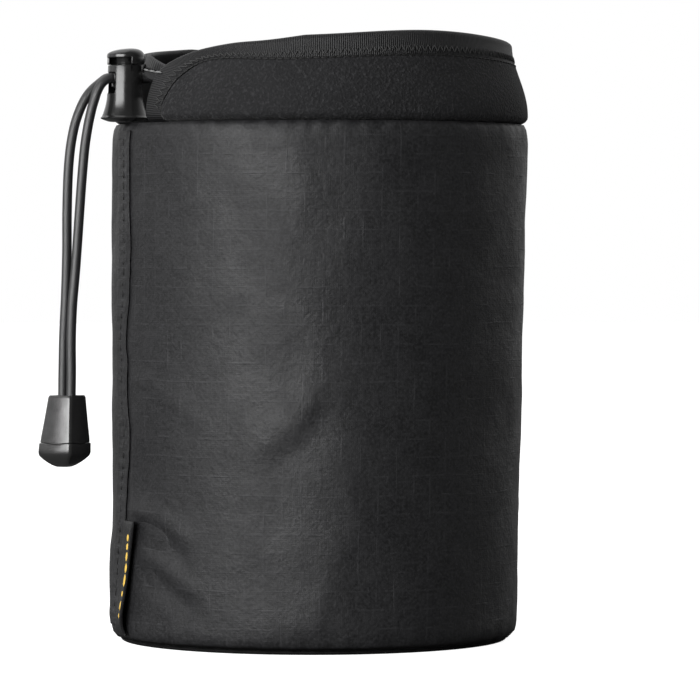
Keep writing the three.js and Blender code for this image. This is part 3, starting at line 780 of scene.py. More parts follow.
def hidden_folds():
    """Low folds of the same kind on the sides that the front view doesn't show."""
    chance = random.Random(11)
    folds = []
    for _ in range(HIDDEN_FOLDS):
        bearing, height = chance.uniform(*HIDDEN_BEARINGS), chance.uniform(*HIDDEN_HEIGHTS)
        turn, rise = chance.uniform(4, 16), chance.uniform(-14, 14)
        depth = chance.choice((-1, 1)) * chance.uniform(0.3, 0.7)
        middle = (bearing + turn / 2, height + rise / 2 + chance.uniform(-4, 4))
        way = [(bearing, height), middle, (bearing + turn, height + rise)]
        folds.append((depth, chance.uniform(3, 8), SOFT, way))
    return folds


ALL_FOLDS = FOLDS + hidden_folds()


def distance_to(way, arc, height):
    """How far a place on the unrolled sleeve is from a fold's way."""
    least = math.inf
    for (low_bearing, low_height), (high_bearing, high_height) in zip(way, way[1:]):
        low_arc, high_arc = low_bearing * ARC_PER_DEGREE, high_bearing * ARC_PER_DEGREE
        run, rise = high_arc - low_arc, high_height - low_height
        share = clamp(((arc - low_arc) * run + (height - low_height) * rise) / (run * run + rise * rise))
        least = min(least, math.hypot(arc - low_arc - share * run, height - low_height - share * rise))
    return least


def fold_relief(bearing, height):
    total = 0
    for depth, width, kind, way in ALL_FOLDS:
        middle = way[len(way) // 2]
        turned_bearing = bearing + 360 * round((middle[0] - bearing) / 360)
        distance = distance_to(way, turned_bearing * ARC_PER_DEGREE, height)
        if distance > FOLD_REACH * width:
            continue
        if kind == SHARP:
            total += depth * math.exp(-(math.hypot(distance, FOLD_CREST) - FOLD_CREST) / width)
        else:
            total += depth * fading(distance, width)
    return total


# Gathers below the collar: all round, with more of them near a bearing, and small ones above the base
PUCKERS = 56
PUCKER_DEPTH = 0.2
FRONT_DEPTH = 0.25
FRONT_BEARING = 4
FRONT_SPREAD = 32
PUCKER_HEIGHT = 1.8
LOW_PUCKERS = 43
LOW_DEPTH = 0.12
LOW_HEIGHT = 4


def pucker(bearing, height):
    phase = math.radians(bearing)
    ripple = math.sin(PUCKERS * phase + 1.8 * math.sin(5 * phase) + 1.1 * math.sin(11 * phase + 1))
    front = PUCKER_DEPTH + FRONT_DEPTH * fading(bearing - FRONT_BEARING, FRONT_SPREAD)
    gathers = front * ripple * math.exp(-(SLEEVE_TOP - height) / PUCKER_HEIGHT)
    low = math.sin(LOW_PUCKERS * phase + 1.5 * math.sin(7 * phase))
    return gathers + LOW_DEPTH * low * math.exp(-(height - SHELL_BOTTOM) / LOW_HEIGHT)


def relief(bearing, height):
    """How far the cloth stands out from the plain sleeve."""
    place = spot(bearing, SLEEVE_RADIUS_LOW, height)
    swell = sum(depth * noise.noise(place / size) for depth, size in SWELLS)
    ends = eased((height - SHELL_BOTTOM) / FOLD_MARGIN) * eased((SLEEVE_TOP - height) / FOLD_MARGIN)
    return (fold_relief(bearing, height) + swell) * ends + pucker(bearing, height)


def on_sleeve(bearing, height, out):
    return spot(bearing, sleeve_radius(height) + relief(bearing, height) + out, height)


def rippled(mesh, share=1):
    """The mesh with the cloth's relief."""
    for vertex in mesh.verts:
        bearing = bearing_of(vertex.co)
        vertex.co += outward(bearing) * relief(bearing, vertex.co.z) * share
    return mesh


def wall_profile(bottom, top, outer, inner, rows, wall_radius=sleeve_radius):
    heights = [blend(bottom, top, i / rows) for i in range(rows + 1)]
    out = [(wall_radius(height) - outer, height) for height in heights]
    back = [(wall_radius(height) - inner, height) for height in heights[:: -max(rows // 12, 1)]]
    return out + back


SLEEVE_ROWS = 106
FOAM_ROWS = 48
LINING_ROWS = 60
LINING_RELIEF = 0.25


def make_sleeve():
    profile = wall_profile(SLEEVE_FOOT, SLEEVE_TOP, 0, SHELL_THICKNESS, SLEEVE_ROWS)
    shell = piece("sleeve", rippled(turned(profile)), RIPSTOP, "ripstop_shell", "outer_shell")
    inner = PADDING_OFFSET + PADDING_THICKNESS
    profile = wall_profile(PADDING_BOTTOM, PADDING_TOP, PADDING_OFFSET, inner, FOAM_ROWS)
    foam = piece("side_foam", rippled(turned(profile, HIDDEN_AROUND)), FOAM, "foam", "side_padding")
    inner = LINING_OFFSET + LINING_THICKNESS
    profile = wall_profile(LINING_BOTTOM, PADDING_TOP, LINING_OFFSET, inner, LINING_ROWS, cone_radius)
    lining = rippled(turned(profile, HIDDEN_AROUND), LINING_RELIEF)
    lining = piece("inner_sleeve", lining, LINING, "lining_cloth", "side_lining")


# Side seam. The strip's front edge: heights, and distances along the sleeve from the seam's bearing
STRIP_EDGE = [
    (5.5, -3.7), (22, 0.1), (39, 3.9), (44, 4.1), (51, 5.3), (58, 6.4),
    (66, 6.4), (73, 5), (80, 4.4), (87, 4.7), (93, 3.7), (99, 4.2),
    (105, 5.4), (112, 6.1), (124, 6.7), (135, 5.9), (150, 5.7), (158, 5.5),
]
STRIP_BOTTOM, STRIP_TOP = STRIP_EDGE[0][0], STRIP_EDGE[-1][0]
STRIP_WIDTH = 10
STRIP_LIFT = 0.2
STRIP_THICKNESS = 0.55
STITCH_INSET = 4.2
STITCH_PITCH = 3.3
STITCH_MARGIN = 2
STITCH_ENDS = (0.14, 0.86)
STITCH_SINK = 0.05
STITCH_RADIUS = 0.24
CRUMPLE_DEPTH, CRUMPLE_REACH = 0.3, 3.2
DIMPLE_DEPTH, DIMPLE_REACH = 0.28, 1.1


def seam_edge(height):
    waver = 0.35 * noise.noise(Vector((0, 3, height / 9))) + 0.2 * noise.noise(Vector((7, 0, height / 4)))
    return along(STRIP_EDGE, height)[0] + waver


def seam_bearing(distance, height):
    return SEAM_BEARING + math.degrees(math.asin(distance / cone_radius(height)))


def strip_place(u, v):
    """The strip's skin, pulled in at each stitch and crumpled on both sides of the row."""
    height = blend(STRIP_BOTTOM, STRIP_TOP, v)
    angle = 2 * math.pi * u
    across = 0.5 + 0.5 * squarish(math.cos(angle), 0.35)
    out = 0.5 + 0.5 * squarish(math.sin(angle), 0.6)
    distance = seam_edge(height) - STRIP_WIDTH * across
    off = STRIP_WIDTH * across - STITCH_INSET
    pull = 0.5 + 0.5 * math.cos(2 * math.pi * (height - STRIP_BOTTOM - STITCH_MARGIN) / STITCH_PITCH)
    crumple = CRUMPLE_DEPTH * noise.noise(Vector((off / 2.2, height / 2.4, 5)))
    dimple = crumple * fading(off, CRUMPLE_REACH) - DIMPLE_DEPTH * pull * fading(off, DIMPLE_REACH)
    lift = STRIP_LIFT + STRIP_THICKNESS * out + dimple * out
    return on_sleeve(seam_bearing(distance, height), height, lift)


def stitch(mesh, start, end, radius):
    """One stitch: a grain-shaped bit of thread between two points."""
    run = end - start
    turn = run.to_track_quat("Z", "Y").to_matrix().to_4x4()
    size = Matrix.Diagonal((radius, radius, run.length / 2, 1))
    place = Matrix.Translation((start + end) / 2) @ turn @ size
    bmesh.ops.create_uvsphere(mesh, u_segments=6, v_segments=5, radius=1, matrix=place)


def make_side_seam():
    length = STRIP_TOP - STRIP_BOTTOM
    strip = capped(laid(40, 190, strip_place, 2 * STRIP_WIDTH, length))
    strip = piece("seam_strip", strip, RIPSTOP, "ripstop_shell", "side_seam_strip")
    rows = bmesh.new()
    lift = STRIP_LIFT + STRIP_THICKNESS - STITCH_SINK
    height = STRIP_BOTTOM + STITCH_MARGIN
    while height < STRIP_TOP - STITCH_MARGIN:
        ends = [height + share * STITCH_PITCH for share in STITCH_ENDS]
        places = [on_sleeve(seam_bearing(seam_edge(end) - STITCH_INSET, end), end, lift) for end in ends]
        stitch(rows, *places, STITCH_RADIUS)
        height += STITCH_PITCH
    piece("seam_topstitching", rows, SEAM_THREAD, "ripstop_shell")


# Label: a folded ribbon. At shares of its height, how many degrees it stands off the sleeve.
LABEL_LIFT = [(0, -2), (0.17, 6.5), (0.39, 4.6), (0.6, 3.4), (0.92, 7), (1, 6)]
LABEL_HEIGHT = 35.4
LABEL_BOTTOM = 3.2
LABEL_WIDTH = 9
LABEL_PAST_EDGE = 0.4
LABEL_ROOT = 0.9
RIBBON_THICKNESS = 0.4
RIBBON_SLIT = 0.3
RIBBON_OUTER, RIBBON_INNER = RIBBON_THICKNESS + RIBBON_SLIT / 2, RIBBON_SLIT / 2
# Of the way along the ribbon's outline, how much each layer takes, and the fold between them
LAYER_SHARE, FOLD_SHARE = 0.4, 0.2
# The woven marks: the heights of each one's ends, and its distance from the ribbon's sewn edge
DASHES = [
    (34.6, 32.4, 6.5), (31.8, 29.7, 6.8), (29.1, 26.3, 7.2), (25.7, 22.6, 7.8),
    (22.3, 18.3, 8), (17.1, 15.3, 7.6), (14, 11, 7.3), (10, 8.5, 6.6),
]
DASH_WIDTH = 1
DASH_THICKNESS = 0.12


def label_frame(up):
    """At a share of the label's height: its root, the way to its free edge, and the way that it faces."""
    height = LABEL_BOTTOM + LABEL_HEIGHT * up
    bearing = seam_bearing(along(STRIP_EDGE, height)[0] + LABEL_PAST_EDGE, height)
    lift = along(LABEL_LIFT, up)[0]
    return on_sleeve(bearing, height, LABEL_ROOT), outward(bearing + 90 - lift), outward(bearing - lift)


def on_label(up, across, out):
    root, ahead, face = label_frame(up)
    curl = 0.5 * math.sin(3.1 * up + 0.6) * (across / LABEL_WIDTH) ** 2
    return root + ahead * across + face * (out + curl)


def label_place(u, v):
    fold = LABEL_WIDTH - RIBBON_OUTER
    half = u * 2 if u < 0.5 else (1 - u) * 2
    radius = RIBBON_OUTER if u < 0.5 else RIBBON_INNER
    if half < LAYER_SHARE:
        return on_label(v, fold * half / LAYER_SHARE, -radius)
    if half > 1 - LAYER_SHARE:
        return on_label(v, fold * (1 - half) / LAYER_SHARE, radius)
    angle = math.pi * ((half - LAYER_SHARE) / FOLD_SHARE - 0.5)
    return on_label(v, fold + radius * math.cos(angle), radius * math.sin(angle))


def make_label():
    mesh = capped(laid(60, 40, label_place, 4 * LABEL_WIDTH, LABEL_HEIGHT))
    label = piece("side_label_ribbon", mesh, satin_ribbon(), "label_ribbon", "side_label")
    marks = bmesh.new()
    for high, low, across in DASHES:
        ups = [(height - LABEL_BOTTOM) / LABEL_HEIGHT for height in (low, high)]
        start, end = (on_label(up, across, RIBBON_OUTER) for up in ups)
        _, ahead, face = label_frame(ups[1])
        run = end - start
        basis = Matrix((ahead, face, run.normalized())).transposed().to_4x4()
        size = Matrix.Diagonal((DASH_WIDTH, DASH_THICKNESS, run.length / 2, 1))
        place = Matrix.Translation((start + end) / 2) @ basis @ size
        bmesh.ops.create_uvsphere(marks, u_segments=12, v_segments=8, radius=1, matrix=place)
    marks = piece("label_dashes", marks, YELLOW_THREAD, "label_ribbon")


# Base
BINDING_WIDTH = 2.6
TAPE_CORNER = 1
TAPE_RIPPLES, TAPE_RIPPLE_DEPTH = 61, 0.12
FLOOR_SWELL, FLOOR_SWELL_SIZE, FLOOR_MARGIN = 0.35, 17, 8


def rounded_profile(low_radius, high_radius, bottom, top, corner, segments=5):
    """A ring's section with rounded corners."""
    points = []
    for radius, height, start in (
        (high_radius - corner, bottom + corner, -90),
        (high_radius - corner, top - corner, 0),
        (low_radius + corner, top - corner, 90),
        (low_radius + corner, bottom + corner, 180),
    ):
        for i in range(segments + 1):
            angle = math.radians(start + 90 * i / segments)
            points.append((radius + corner * math.cos(angle), height + corner * math.sin(angle)))
    return points


def disc(node, corner, rings=10, steps=HIDDEN_AROUND):
    """A node's radius, and its slab with a rounded rim and rings of vertices for its cloth to ripple."""
    low, high = node_box(node)
    radius = -low.y
    rim = rounded_profile(0, radius, low.z, high.z, corner)
    rim = [point for point in rim if point[0] > radius - 1.01 * corner]
    inside = [blend(0, radius - corner, i / rings) for i in range(rings)]
    profile = [(x, low.z) for x in inside] + rim + [(x, high.z) for x in inside[::-1]]
    return radius, turned(profile, steps, closed=False)


def make_base():
    low, high = node_box("base_binding")
    outer = -low.y
    binding = turned(rounded_profile(outer - BINDING_WIDTH, outer, low.z, high.z, TAPE_CORNER))
    for vertex in binding.verts:
        bearing = math.radians(bearing_of(vertex.co))
        ripple = TAPE_RIPPLE_DEPTH * math.sin(TAPE_RIPPLES * bearing + 2 * math.sin(6 * bearing))
        vertex.co.xy *= 1 + ripple * clamp(vertex.co.z - 1) / outer
    piece("base_tape", binding, TAPE, "binding_tape", "base_binding")
    radius, panel = disc("base_panel", 0.3)
    panel = piece("base_cloth", panel, RIPSTOP, "ripstop_shell", "base_panel")
    _, foam = disc("base_padding", 1.2, steps=120)
    piece("base_foam", foam, FOAM, "foam", "base_padding")
    radius, floor = disc("base_lining", 0.2, 24)
    for vertex in floor.verts:
        edge = eased((radius - vertex.co.xy.length) / FLOOR_MARGIN)
        vertex.co.z += edge * FLOOR_SWELL * (1 + noise.noise(vertex.co / FLOOR_SWELL_SIZE))
    floor = piece("pocket_floor", floor, LINING, "lining_cloth", "base_lining")


# Collar. The band's top edge: turns and heights
BAND_TOP = [(20.4, 4.9), (22.2, 8.6), (23.9, 11.6), (27.4, 14.7), (32.2, 17.3), (37.6, 18.3), (60, 18.5)]
# The hem from a lapel's foot to the level rim: the run along it, then the turn and height of its
# free edge, and of its seam with the band
HEM_STATIONS = [
    (0, 12.4, 0, 20.2, 0),
    (5.5, 12.5, 6, 20.2, 5),
    (9.3, 12.6, 10, 21.6, 8.4),
    (12.2, 12.8, 12.9, 23, 11),
    (14.4, 13.7, 14.7, 24.4, 12.8),
    (17.3, 15.8, 16.5, 26.5, 14.5),
    (20.9, 19.3, 18.3, 29.2, 16.3),
    (28.4, 27.7, 20.9, 34.5, 18.1),
    (40, 40.7, 23.1, 43.5, 18.6),
    (62, 63.4, 25.7, 63.4, 18.5),
]
LAPEL_RUN_LENGTH, LEVEL_FROM = HEM_STATIONS[-1][:2]
RUN_PER_DEGREE = math.radians(61)
LEVEL_RUN_LENGTH = (360 - 2 * LEVEL_FROM) * RUN_PER_DEGREE
HEM_LENGTH = 2 * LAPEL_RUN_LENGTH + LEVEL_RUN_LENGTH
# How the rim rises and falls: turns, and heights over the level rim
RIM_WAVE = [
    (0, 0), (40, 0), (53, -0.6), (68, -0.2), (103, 1.5),
    (158, -0.6), (210, 0.2), (290, -0.6), (319, 0), (360, 0),
]
WAVE_FROM, WAVE_RISE = 6, 18


def rim_wave(turn, height):
    return along(RIM_WAVE, turn % 360)[0] * eased((height - COLLAR_FOOT - WAVE_FROM) / WAVE_RISE)


def collar_point(turn, height, depth):
    """A place in the collar's wall: a turn from the seam, a height, and a depth in from the outer face."""
    bearing = SEAM_BEARING + turn
    soft = 0.25 * noise.noise(outward(bearing) * 2.6 + Vector((0, 0, height / 16)))
    return spot(bearing, collar_radius(height) - depth + soft, height + rim_wave(turn, height))


FACE_STEPS = 22
END_STEPS = 4
CORNER_STEPS = 4
SECTION_ROWS = 2 * (FACE_STEPS + END_STEPS) + 4 * CORNER_STEPS
BAND_CORNERS = (0.7, 0.4)
BAND_COLUMNS = 420
BAND_GIRTH = 42
HEM_CORNERS = (0.5, 1.3)
HEM_COLUMNS = 460
HEM_WIDTH = 7.2
HEM_GIRTH = 24
HEM_PINCH = 0.45
GATHER_DEPTH = 0.14


@lru_cache(maxsize=None)
def oblong(tall, deep, low, high):
    """An upright slab's section with rounded corners, as heights and depths from its outer face."""
    points = []
    sides = [
        (low, 0, tall - high, 0, FACE_STEPS),
        (tall, high, tall, deep - high, END_STEPS),
        (tall - high, deep, low, deep, FACE_STEPS),
        (0, deep - low, 0, low, END_STEPS),
    ]
    corners = [
        (tall - high, high, high, 0),
        (tall - high, deep - high, high, 90),
        (low, deep - low, low, 180),
        (low, low, low, 270),
    ]
    for (up, depth, up_end, depth_end, steps), (middle, centre, corner, start) in zip(sides, corners):
        points += [(blend(up, up_end, i / steps), blend(depth, depth_end, i / steps)) for i in range(steps)]
        for i in range(CORNER_STEPS):
            angle = math.radians(start + 90 * i / CORNER_STEPS)
            points.append((middle + corner * math.sin(angle), centre - corner * math.cos(angle)))
    return points


def on_section(v, tall, deep, corners):
    return oblong(tall, deep, *corners)[round(v * SECTION_ROWS) % SECTION_ROWS]


def band_top(turn):
    near = min(turn, 360 - turn)
    return along(BAND_TOP, near)[0] if near < BAND_TOP[-1][0] else BAND_TOP[-1][1]


def band_place(u, v):
    first = BAND_TOP[0][0]
    turn = blend(first, 360 - first, u)
    up, depth = on_section(v, band_top(turn), BAND_THICKNESS, BAND_CORNERS)
    gather = GATHER_DEPTH * math.sin(math.radians(PUCKERS * turn)) * math.exp(-up / 1.5)
    return collar_point(turn, COLLAR_FOOT + up, depth - gather)


def hem_lines(run):
    """At a run along the hem: the turn and height of its free edge, and of its seam with the band."""
    mirror = run > HEM_LENGTH / 2
    near = HEM_LENGTH - run if mirror else run
    if near < LAPEL_RUN_LENGTH:
        edge_turn, edge_up, seam_turn, seam_up = along(HEM_STATIONS, near)
    else:
        _, _, edge_up, _, seam_up = HEM_STATIONS[-1]
        edge_turn = LEVEL_FROM + (near - LAPEL_RUN_LENGTH) / RUN_PER_DEGREE
        seam_turn = edge_turn
    if mirror:
        edge_turn, seam_turn = 360 - edge_turn, 360 - seam_turn
    return edge_turn, edge_up, seam_turn, seam_up


def on_hem(run, across, depth):
    """A place on the hem: along it, from its seam to its free edge, and in from its outer face."""
    edge_turn, edge_up, seam_turn, seam_up = hem_lines(run)
    turn = blend(seam_turn, edge_turn, across)
    return collar_point(turn, COLLAR_FOOT + blend(seam_up, edge_up, across), depth)


def hem_place(u, v):
    up, depth = on_section(v, HEM_WIDTH, HEM_THICKNESS, HEM_CORNERS)
    pinch = HEM_PINCH * math.exp(-up / 1.2) * (1 - 2 * depth / HEM_THICKNESS)
    return on_hem(u * HEM_LENGTH, up / HEM_WIDTH, depth + pinch)


ZIGZAG_PITCH = 2.3
ZIGZAG_MARGIN = 4
ZIGZAG_LOW = 0.12
ZIGZAG_HIGH = 0.4
ZIGZAG_DEPTH = 0.02
ZIGZAG_RADIUS = 0.2
# The dark line in the hem's seam, which is painted shade: its start, end margin, each stitch's overlap,
# depth and radius
JOIN_FROM, JOIN_MARGIN = 0.4, 1.5
JOIN_OVERLAP = 1.1
JOIN_DEPTH = 0.05
JOIN_RADIUS = 0.3


def make_hem():
    hem = capped(laid(HEM_COLUMNS, SECTION_ROWS, hem_place, HEM_LENGTH, HEM_GIRTH))
    piece("rim_tape", hem, RIBBED, "stretch_knit", "rim_hem")
    rows = bmesh.new()
    for i in range(round((HEM_LENGTH - 2 * ZIGZAG_MARGIN) / ZIGZAG_PITCH)):
        run = ZIGZAG_MARGIN + i * ZIGZAG_PITCH
        low = on_hem(run, ZIGZAG_LOW, ZIGZAG_DEPTH)
        high = on_hem(run + ZIGZAG_PITCH / 2, ZIGZAG_HIGH, -ZIGZAG_DEPTH)
        stitch(rows, low, high, ZIGZAG_RADIUS)
        stitch(rows, high, on_hem(run + ZIGZAG_PITCH, ZIGZAG_LOW, ZIGZAG_DEPTH), ZIGZAG_RADIUS)
    piece("hem_zigzag", rows, HEM_THREAD, "stretch_knit")
    # A continuous row of dark overlapping stitches along the hem's seam with the band: the seam is real,
    # its dark line is painted shade
    seam_shade_line = bmesh.new()
    for i in range(math.floor((HEM_LENGTH - JOIN_MARGIN) / ZIGZAG_PITCH)):
        run = JOIN_FROM + i * ZIGZAG_PITCH
        start, end = on_hem(run, 0, JOIN_DEPTH), on_hem(run + JOIN_OVERLAP * ZIGZAG_PITCH, 0, JOIN_DEPTH)
        stitch(seam_shade_line, start, end, JOIN_RADIUS)
    piece("hem_seam_painted_shade", seam_shade_line, SEAM_THREAD, "stretch_knit")


SEAM_ALLOWANCE = 1.4
LINING_UNDERLAP = 0.2
LINING_GIRTH = 40
FLANGE_INNER, FLANGE_OUTER = 57.1, 62.5


def collar_lining_place(u, v):
    first = BAND_TOP[0][0] - 1
    turn = blend(first, 360 - first, u)
    top = band_top(turn) + SEAM_ALLOWANCE
    angle = 2 * math.pi * v
    up = 0.5 - 0.5 * squarish(math.cos(angle), 0.5)
    inner = COLLAR_LINING_OFFSET + COLLAR_LINING_THICKNESS
    depth = blend(COLLAR_LINING_OFFSET, inner, 0.5 - 0.5 * math.sin(angle))
    return collar_point(turn, SLEEVE_TOP - LINING_UNDERLAP + (top + LINING_UNDERLAP) * up, depth)


def make_collar():
    girth = 2 * math.pi * COLLAR_FOOT_RADIUS
    band = capped(laid(BAND_COLUMNS, SECTION_ROWS, band_place, girth, BAND_GIRTH))
    piece("collar", band, KNIT, "stretch_knit", "collar_band")
    lining = capped(laid(240, 28, collar_lining_place, girth, LINING_GIRTH))
    piece("collar_inner", lining, LINING, "lining_cloth", "collar_lining")
    flange_bottom = node_heights("collar_lining")[0]
    ring = rounded_profile(FLANGE_INNER, FLANGE_OUTER, flange_bottom, SLEEVE_TOP - 0.05, 0.3)
    piece("collar_flange", turned(ring, 200), LINING, "lining_cloth")


# Cord mouths: the hem's outer and inner layers part at its open ends, where the drawcord comes out.
# Each stands from its root to its tip: the turn from the seam, the height of its lower and upper
# edge, and its depth in the collar's wall
FRONT_LIP = [
    (20, 172.6, 175, 0.4),
    (15.5, 172.7, 175.1, 0.1),
    (12, 173.3, 175.6, -0.2),
    (9.7, 174.2, 176, -0.4),
    (7.6, 175, 176.3, -0.5),
]
FRONT_FLAP = [
    (17, 174.6, 177, 3.6),
    (12, 175.4, 177.9, 3.8),
    (6, 176.2, 179.2, 4.1),
    (-1.5, 177, 180.8, 4.5),
    (-8, 177.6, 181.8, 4.8),
    (-14, 178, 182.2, 5),
]
BACK_LIP = [(19, 173.4, 176, 0.5), (14, 173.2, 175.9, 0.2), (12, 173.6, 176.2, -0.1)]
BACK_FLAP = [(17, 174.6, 177.2, 3.6), (12, 175.6, 178.4, 3.8), (7, 176, 179, 4.1)]
TONGUES = (
    ("front_lip", FRONT_LIP, 1),
    ("front_flap", FRONT_FLAP, 1),
    ("back_lip", BACK_LIP, -1),
    ("back_flap", BACK_FLAP, -1),
)
# The front lip's top edge, where a light grey thread stands for its lit edge as a painted highlight: turn,
# height, depth
LIP_EDGE = [(17.5, 175.2, -0.2), (14, 175.6, -0.3), (11, 176, -0.5), (7.8, 176.5, -0.7)]
LIP_HIGHLIGHT_RADIUS = 0.32
LAYER_THICKNESS = 0.9
TIP_SHARE = 0.1


def tongue(stations, side):
    """One layer, with a rounded tip."""
    steps = len(stations) - 1
    numbered = [(i, *station) for i, station in enumerate(stations)]

    def place(u, v):
        turn, bottom, top, depth = along(numbered, u * steps)
        middle, half = (bottom + top) / 2, (top - bottom) / 2
        end = math.sqrt(1 - clamp((u - (1 - TIP_SHARE)) / TIP_SHARE) ** 2)
        angle = 2 * math.pi * v
        up = squarish(math.cos(angle), 0.5) * half * end
        out = math.sin(angle) * LAYER_THICKNESS / 2 * end
        return collar_point(side * turn, middle + up, depth + LAYER_THICKNESS / 2 - out)

    return capped(laid(40, 28, place, 12, 10))


def make_mouths():
    for name, stations, side in TONGUES:
        piece(name, tongue(stations, side), RIBBED, "stretch_knit")
    # A light grey thread along the lip's top edge: a painted highlight
    edge = bmesh.new()
    for start, end in zip(LIP_EDGE, LIP_EDGE[1:]):
        stitch(edge, collar_point(*start), collar_point(*end), LIP_HIGHLIGHT_RADIUS)
    piece("mouth_edge_painted_highlight", edge, LIP_HIGHLIGHT_THREAD, "stretch_knit")


# Cord lock
BARREL_RADIUS_TOP = 5.4
BARREL_RADIUS_LOW = 5.6
FLARE_RADIUS = 7.1
FLARE_HEIGHT = 8
FLARE_FOOT = 1.6
FLARE_CURVE = 1.6
FLARE_STEPS = 14
# The foot's underside and edge: radii, and heights above the foot
FOOT_EDGE = [
    (4.4, 0), (4.9, 0.06), (5.6, 0.25), (6.6, 0.6),
    (7.2, 0.86), (7.44, 1.02), (7.5, 1.2), (7.38, 1.4),
]
RIM_ROUNDING = 0.25
BORE_RADIUS = 4.4
BORE_CHAMFER = 0.2
LOCK_FLOOR = 1.7
STEM_RADIUS = 4.2
GRIP_TOP = EXIT_HEIGHT + 1.75
GRIP_BOTTOM = EXIT_HEIGHT - 1.75
STEM_BOTTOM = GRIP_BOTTOM - 1.4
STEM_CHAMFER = 0.5
PRESS_TRAVEL = 2
HOLE_WIDTH = 6.6
HOUSING_HOLE_WIDTH = HOLE_WIDTH + 0.3
HOUSING_HOLE_SPARE = 1.2
HOLE_CORNER = 0.9
HOLE_REACH = 30
CAP_RADIUS = 5.75
CAP_EDGE = 0.2
CAP_BOTTOM = LOCK_RIM + PRESS_TRAVEL + 0.3
CAP_SHOULDER = CAP_BOTTOM + 0.7
CAP_DOME = 2.1
CAP_TILT = 0.08
DOME_STEPS = 14
STEP_RADIUS = 4.85
STEP_FLOOR = GRIP_TOP + 0.15
SKIRT_RADIUS = 5
SKIRT_BOTTOM = STEP_FLOOR + PRESS_TRAVEL + 0.15
NECK_RADIUS = 2.6
SKIRT_FROM = 22
SKIRT_SPAN = 240
SKIRT_CLEARANCE = 2
LOCK_SIDES = 128


def slab(width, depth, bottom, top, bearing):
    mesh = bmesh.new()
    bmesh.ops.create_cube(mesh, size=1)
    bmesh.ops.scale(mesh, vec=(width, depth, top - bottom), verts=mesh.verts)
    bmesh.ops.translate(mesh, vec=(0, 0, (bottom + top) / 2), verts=mesh.verts)
    turn = Matrix.Rotation(math.radians(bearing), 3, "Z")
    bmesh.ops.rotate(mesh, verts=mesh.verts, cent=(0, 0, 0), matrix=turn)
    return mesh


def cord_hole(width, bottom, top):
    return bevelled(slab(width, HOLE_REACH, bottom, top, SEAM_BEARING), HOLE_CORNER, 4, 60)


def skirt_ring(inner, outer, bottom, top, past):
    """The part of a ring that the cap's skirt takes, and some degrees past its ends."""
    section = [(inner, bottom), (outer, bottom), (outer, top), (inner, top)]
    return capped(turned(section, 96, start=SKIRT_FROM - past, span=SKIRT_SPAN + 2 * past))


def lock_piece(name, mesh, body, *replaced):
    mesh = moved(mesh, LOCK_CENTRE)
    piece(name, mesh, LOCK_PLASTIC, "lock_plastic", *replaced, body=body, sharp_from=35)


def make_barrel():
    flare = []
    for i in range(FLARE_STEPS + 1):
        share = 1 - i / FLARE_STEPS
        radius = BARREL_RADIUS_LOW + (FLARE_RADIUS - BARREL_RADIUS_LOW) * share**FLARE_CURVE
        flare.append((radius, LOCK_FOOT + blend(FLARE_HEIGHT, FLARE_FOOT, share)))
    profile = [
        (0, LOCK_FOOT),
        *[(radius, LOCK_FOOT + up) for radius, up in FOOT_EDGE],
        *flare,
        (BARREL_RADIUS_TOP, LOCK_RIM - RIM_ROUNDING),
        (BARREL_RADIUS_TOP - 0.08, LOCK_RIM - 0.07),
        (BARREL_RADIUS_TOP - RIM_ROUNDING, LOCK_RIM),
        (BORE_RADIUS + BORE_CHAMFER, LOCK_RIM),
        (BORE_RADIUS, LOCK_RIM - BORE_CHAMFER),
        (BORE_RADIUS, LOCK_FOOT + LOCK_FLOOR),
        (0, LOCK_FOOT + LOCK_FLOOR),
    ]
    hole = cord_hole(HOUSING_HOLE_WIDTH, GRIP_BOTTOM - PRESS_TRAVEL - HOUSING_HOLE_SPARE, GRIP_TOP)
    step = skirt_ring(STEP_RADIUS, CAP_RADIUS + 2, STEP_FLOOR, LOCK_RIM + 1, SKIRT_CLEARANCE)
    housing = carved(turned(profile, LOCK_SIDES, closed=False), hole, step)
    lock_piece("lock_barrel", bevelled(housing, 0.15, 3, 50), "pouch", "lock_housing")


def make_plunger():
    """The button with its stem, and the skirt that slides in the housing's step."""
    dome = []
    for i in range(DOME_STEPS):
        angle = math.pi / 2 * i / DOME_STEPS
        dome.append((CAP_RADIUS * math.cos(angle) ** 0.75, CAP_SHOULDER + CAP_DOME * math.sin(angle)))
    profile = [
        (0, STEM_BOTTOM),
        (STEM_RADIUS - STEM_CHAMFER, STEM_BOTTOM),
        (STEM_RADIUS, GRIP_BOTTOM - 0.9),
        (STEM_RADIUS, GRIP_TOP + 1.9),
        (NECK_RADIUS, GRIP_TOP + 2.1),
        (NECK_RADIUS + 0.45, CAP_BOTTOM),
        (CAP_RADIUS - CAP_EDGE, CAP_BOTTOM),
        (CAP_RADIUS, CAP_BOTTOM + CAP_EDGE),
        *dome,
        (0, CAP_SHOULDER + CAP_DOME),
    ]
    hole = cord_hole(HOLE_WIDTH, GRIP_BOTTOM, GRIP_TOP + PRESS_TRAVEL)
    plunger = bevelled(carved(turned(profile, LOCK_SIDES, closed=False), hole), 0.1, 2, 50)
    for vertex in plunger.verts:
        if vertex.co.z > CAP_SHOULDER:
            middle = 1 - (vertex.co.xy.length / CAP_RADIUS) ** 4
            vertex.co.z += CAP_TILT * vertex.co.x * clamp(middle)
    lock_piece("lock_cap", plunger, "lock_button", "lock_plunger")
    skirt = skirt_ring(SKIRT_RADIUS, CAP_RADIUS, SKIRT_BOTTOM, CAP_BOTTOM + 0.6, 0)
    lock_piece("cap_skirt", bevelled(skirt, 0.22, 4, 50), "lock_button")


SPRING_RADIUS = 2.9
SPRING_WIRE = 0.7
SPRING_TURNS = 5


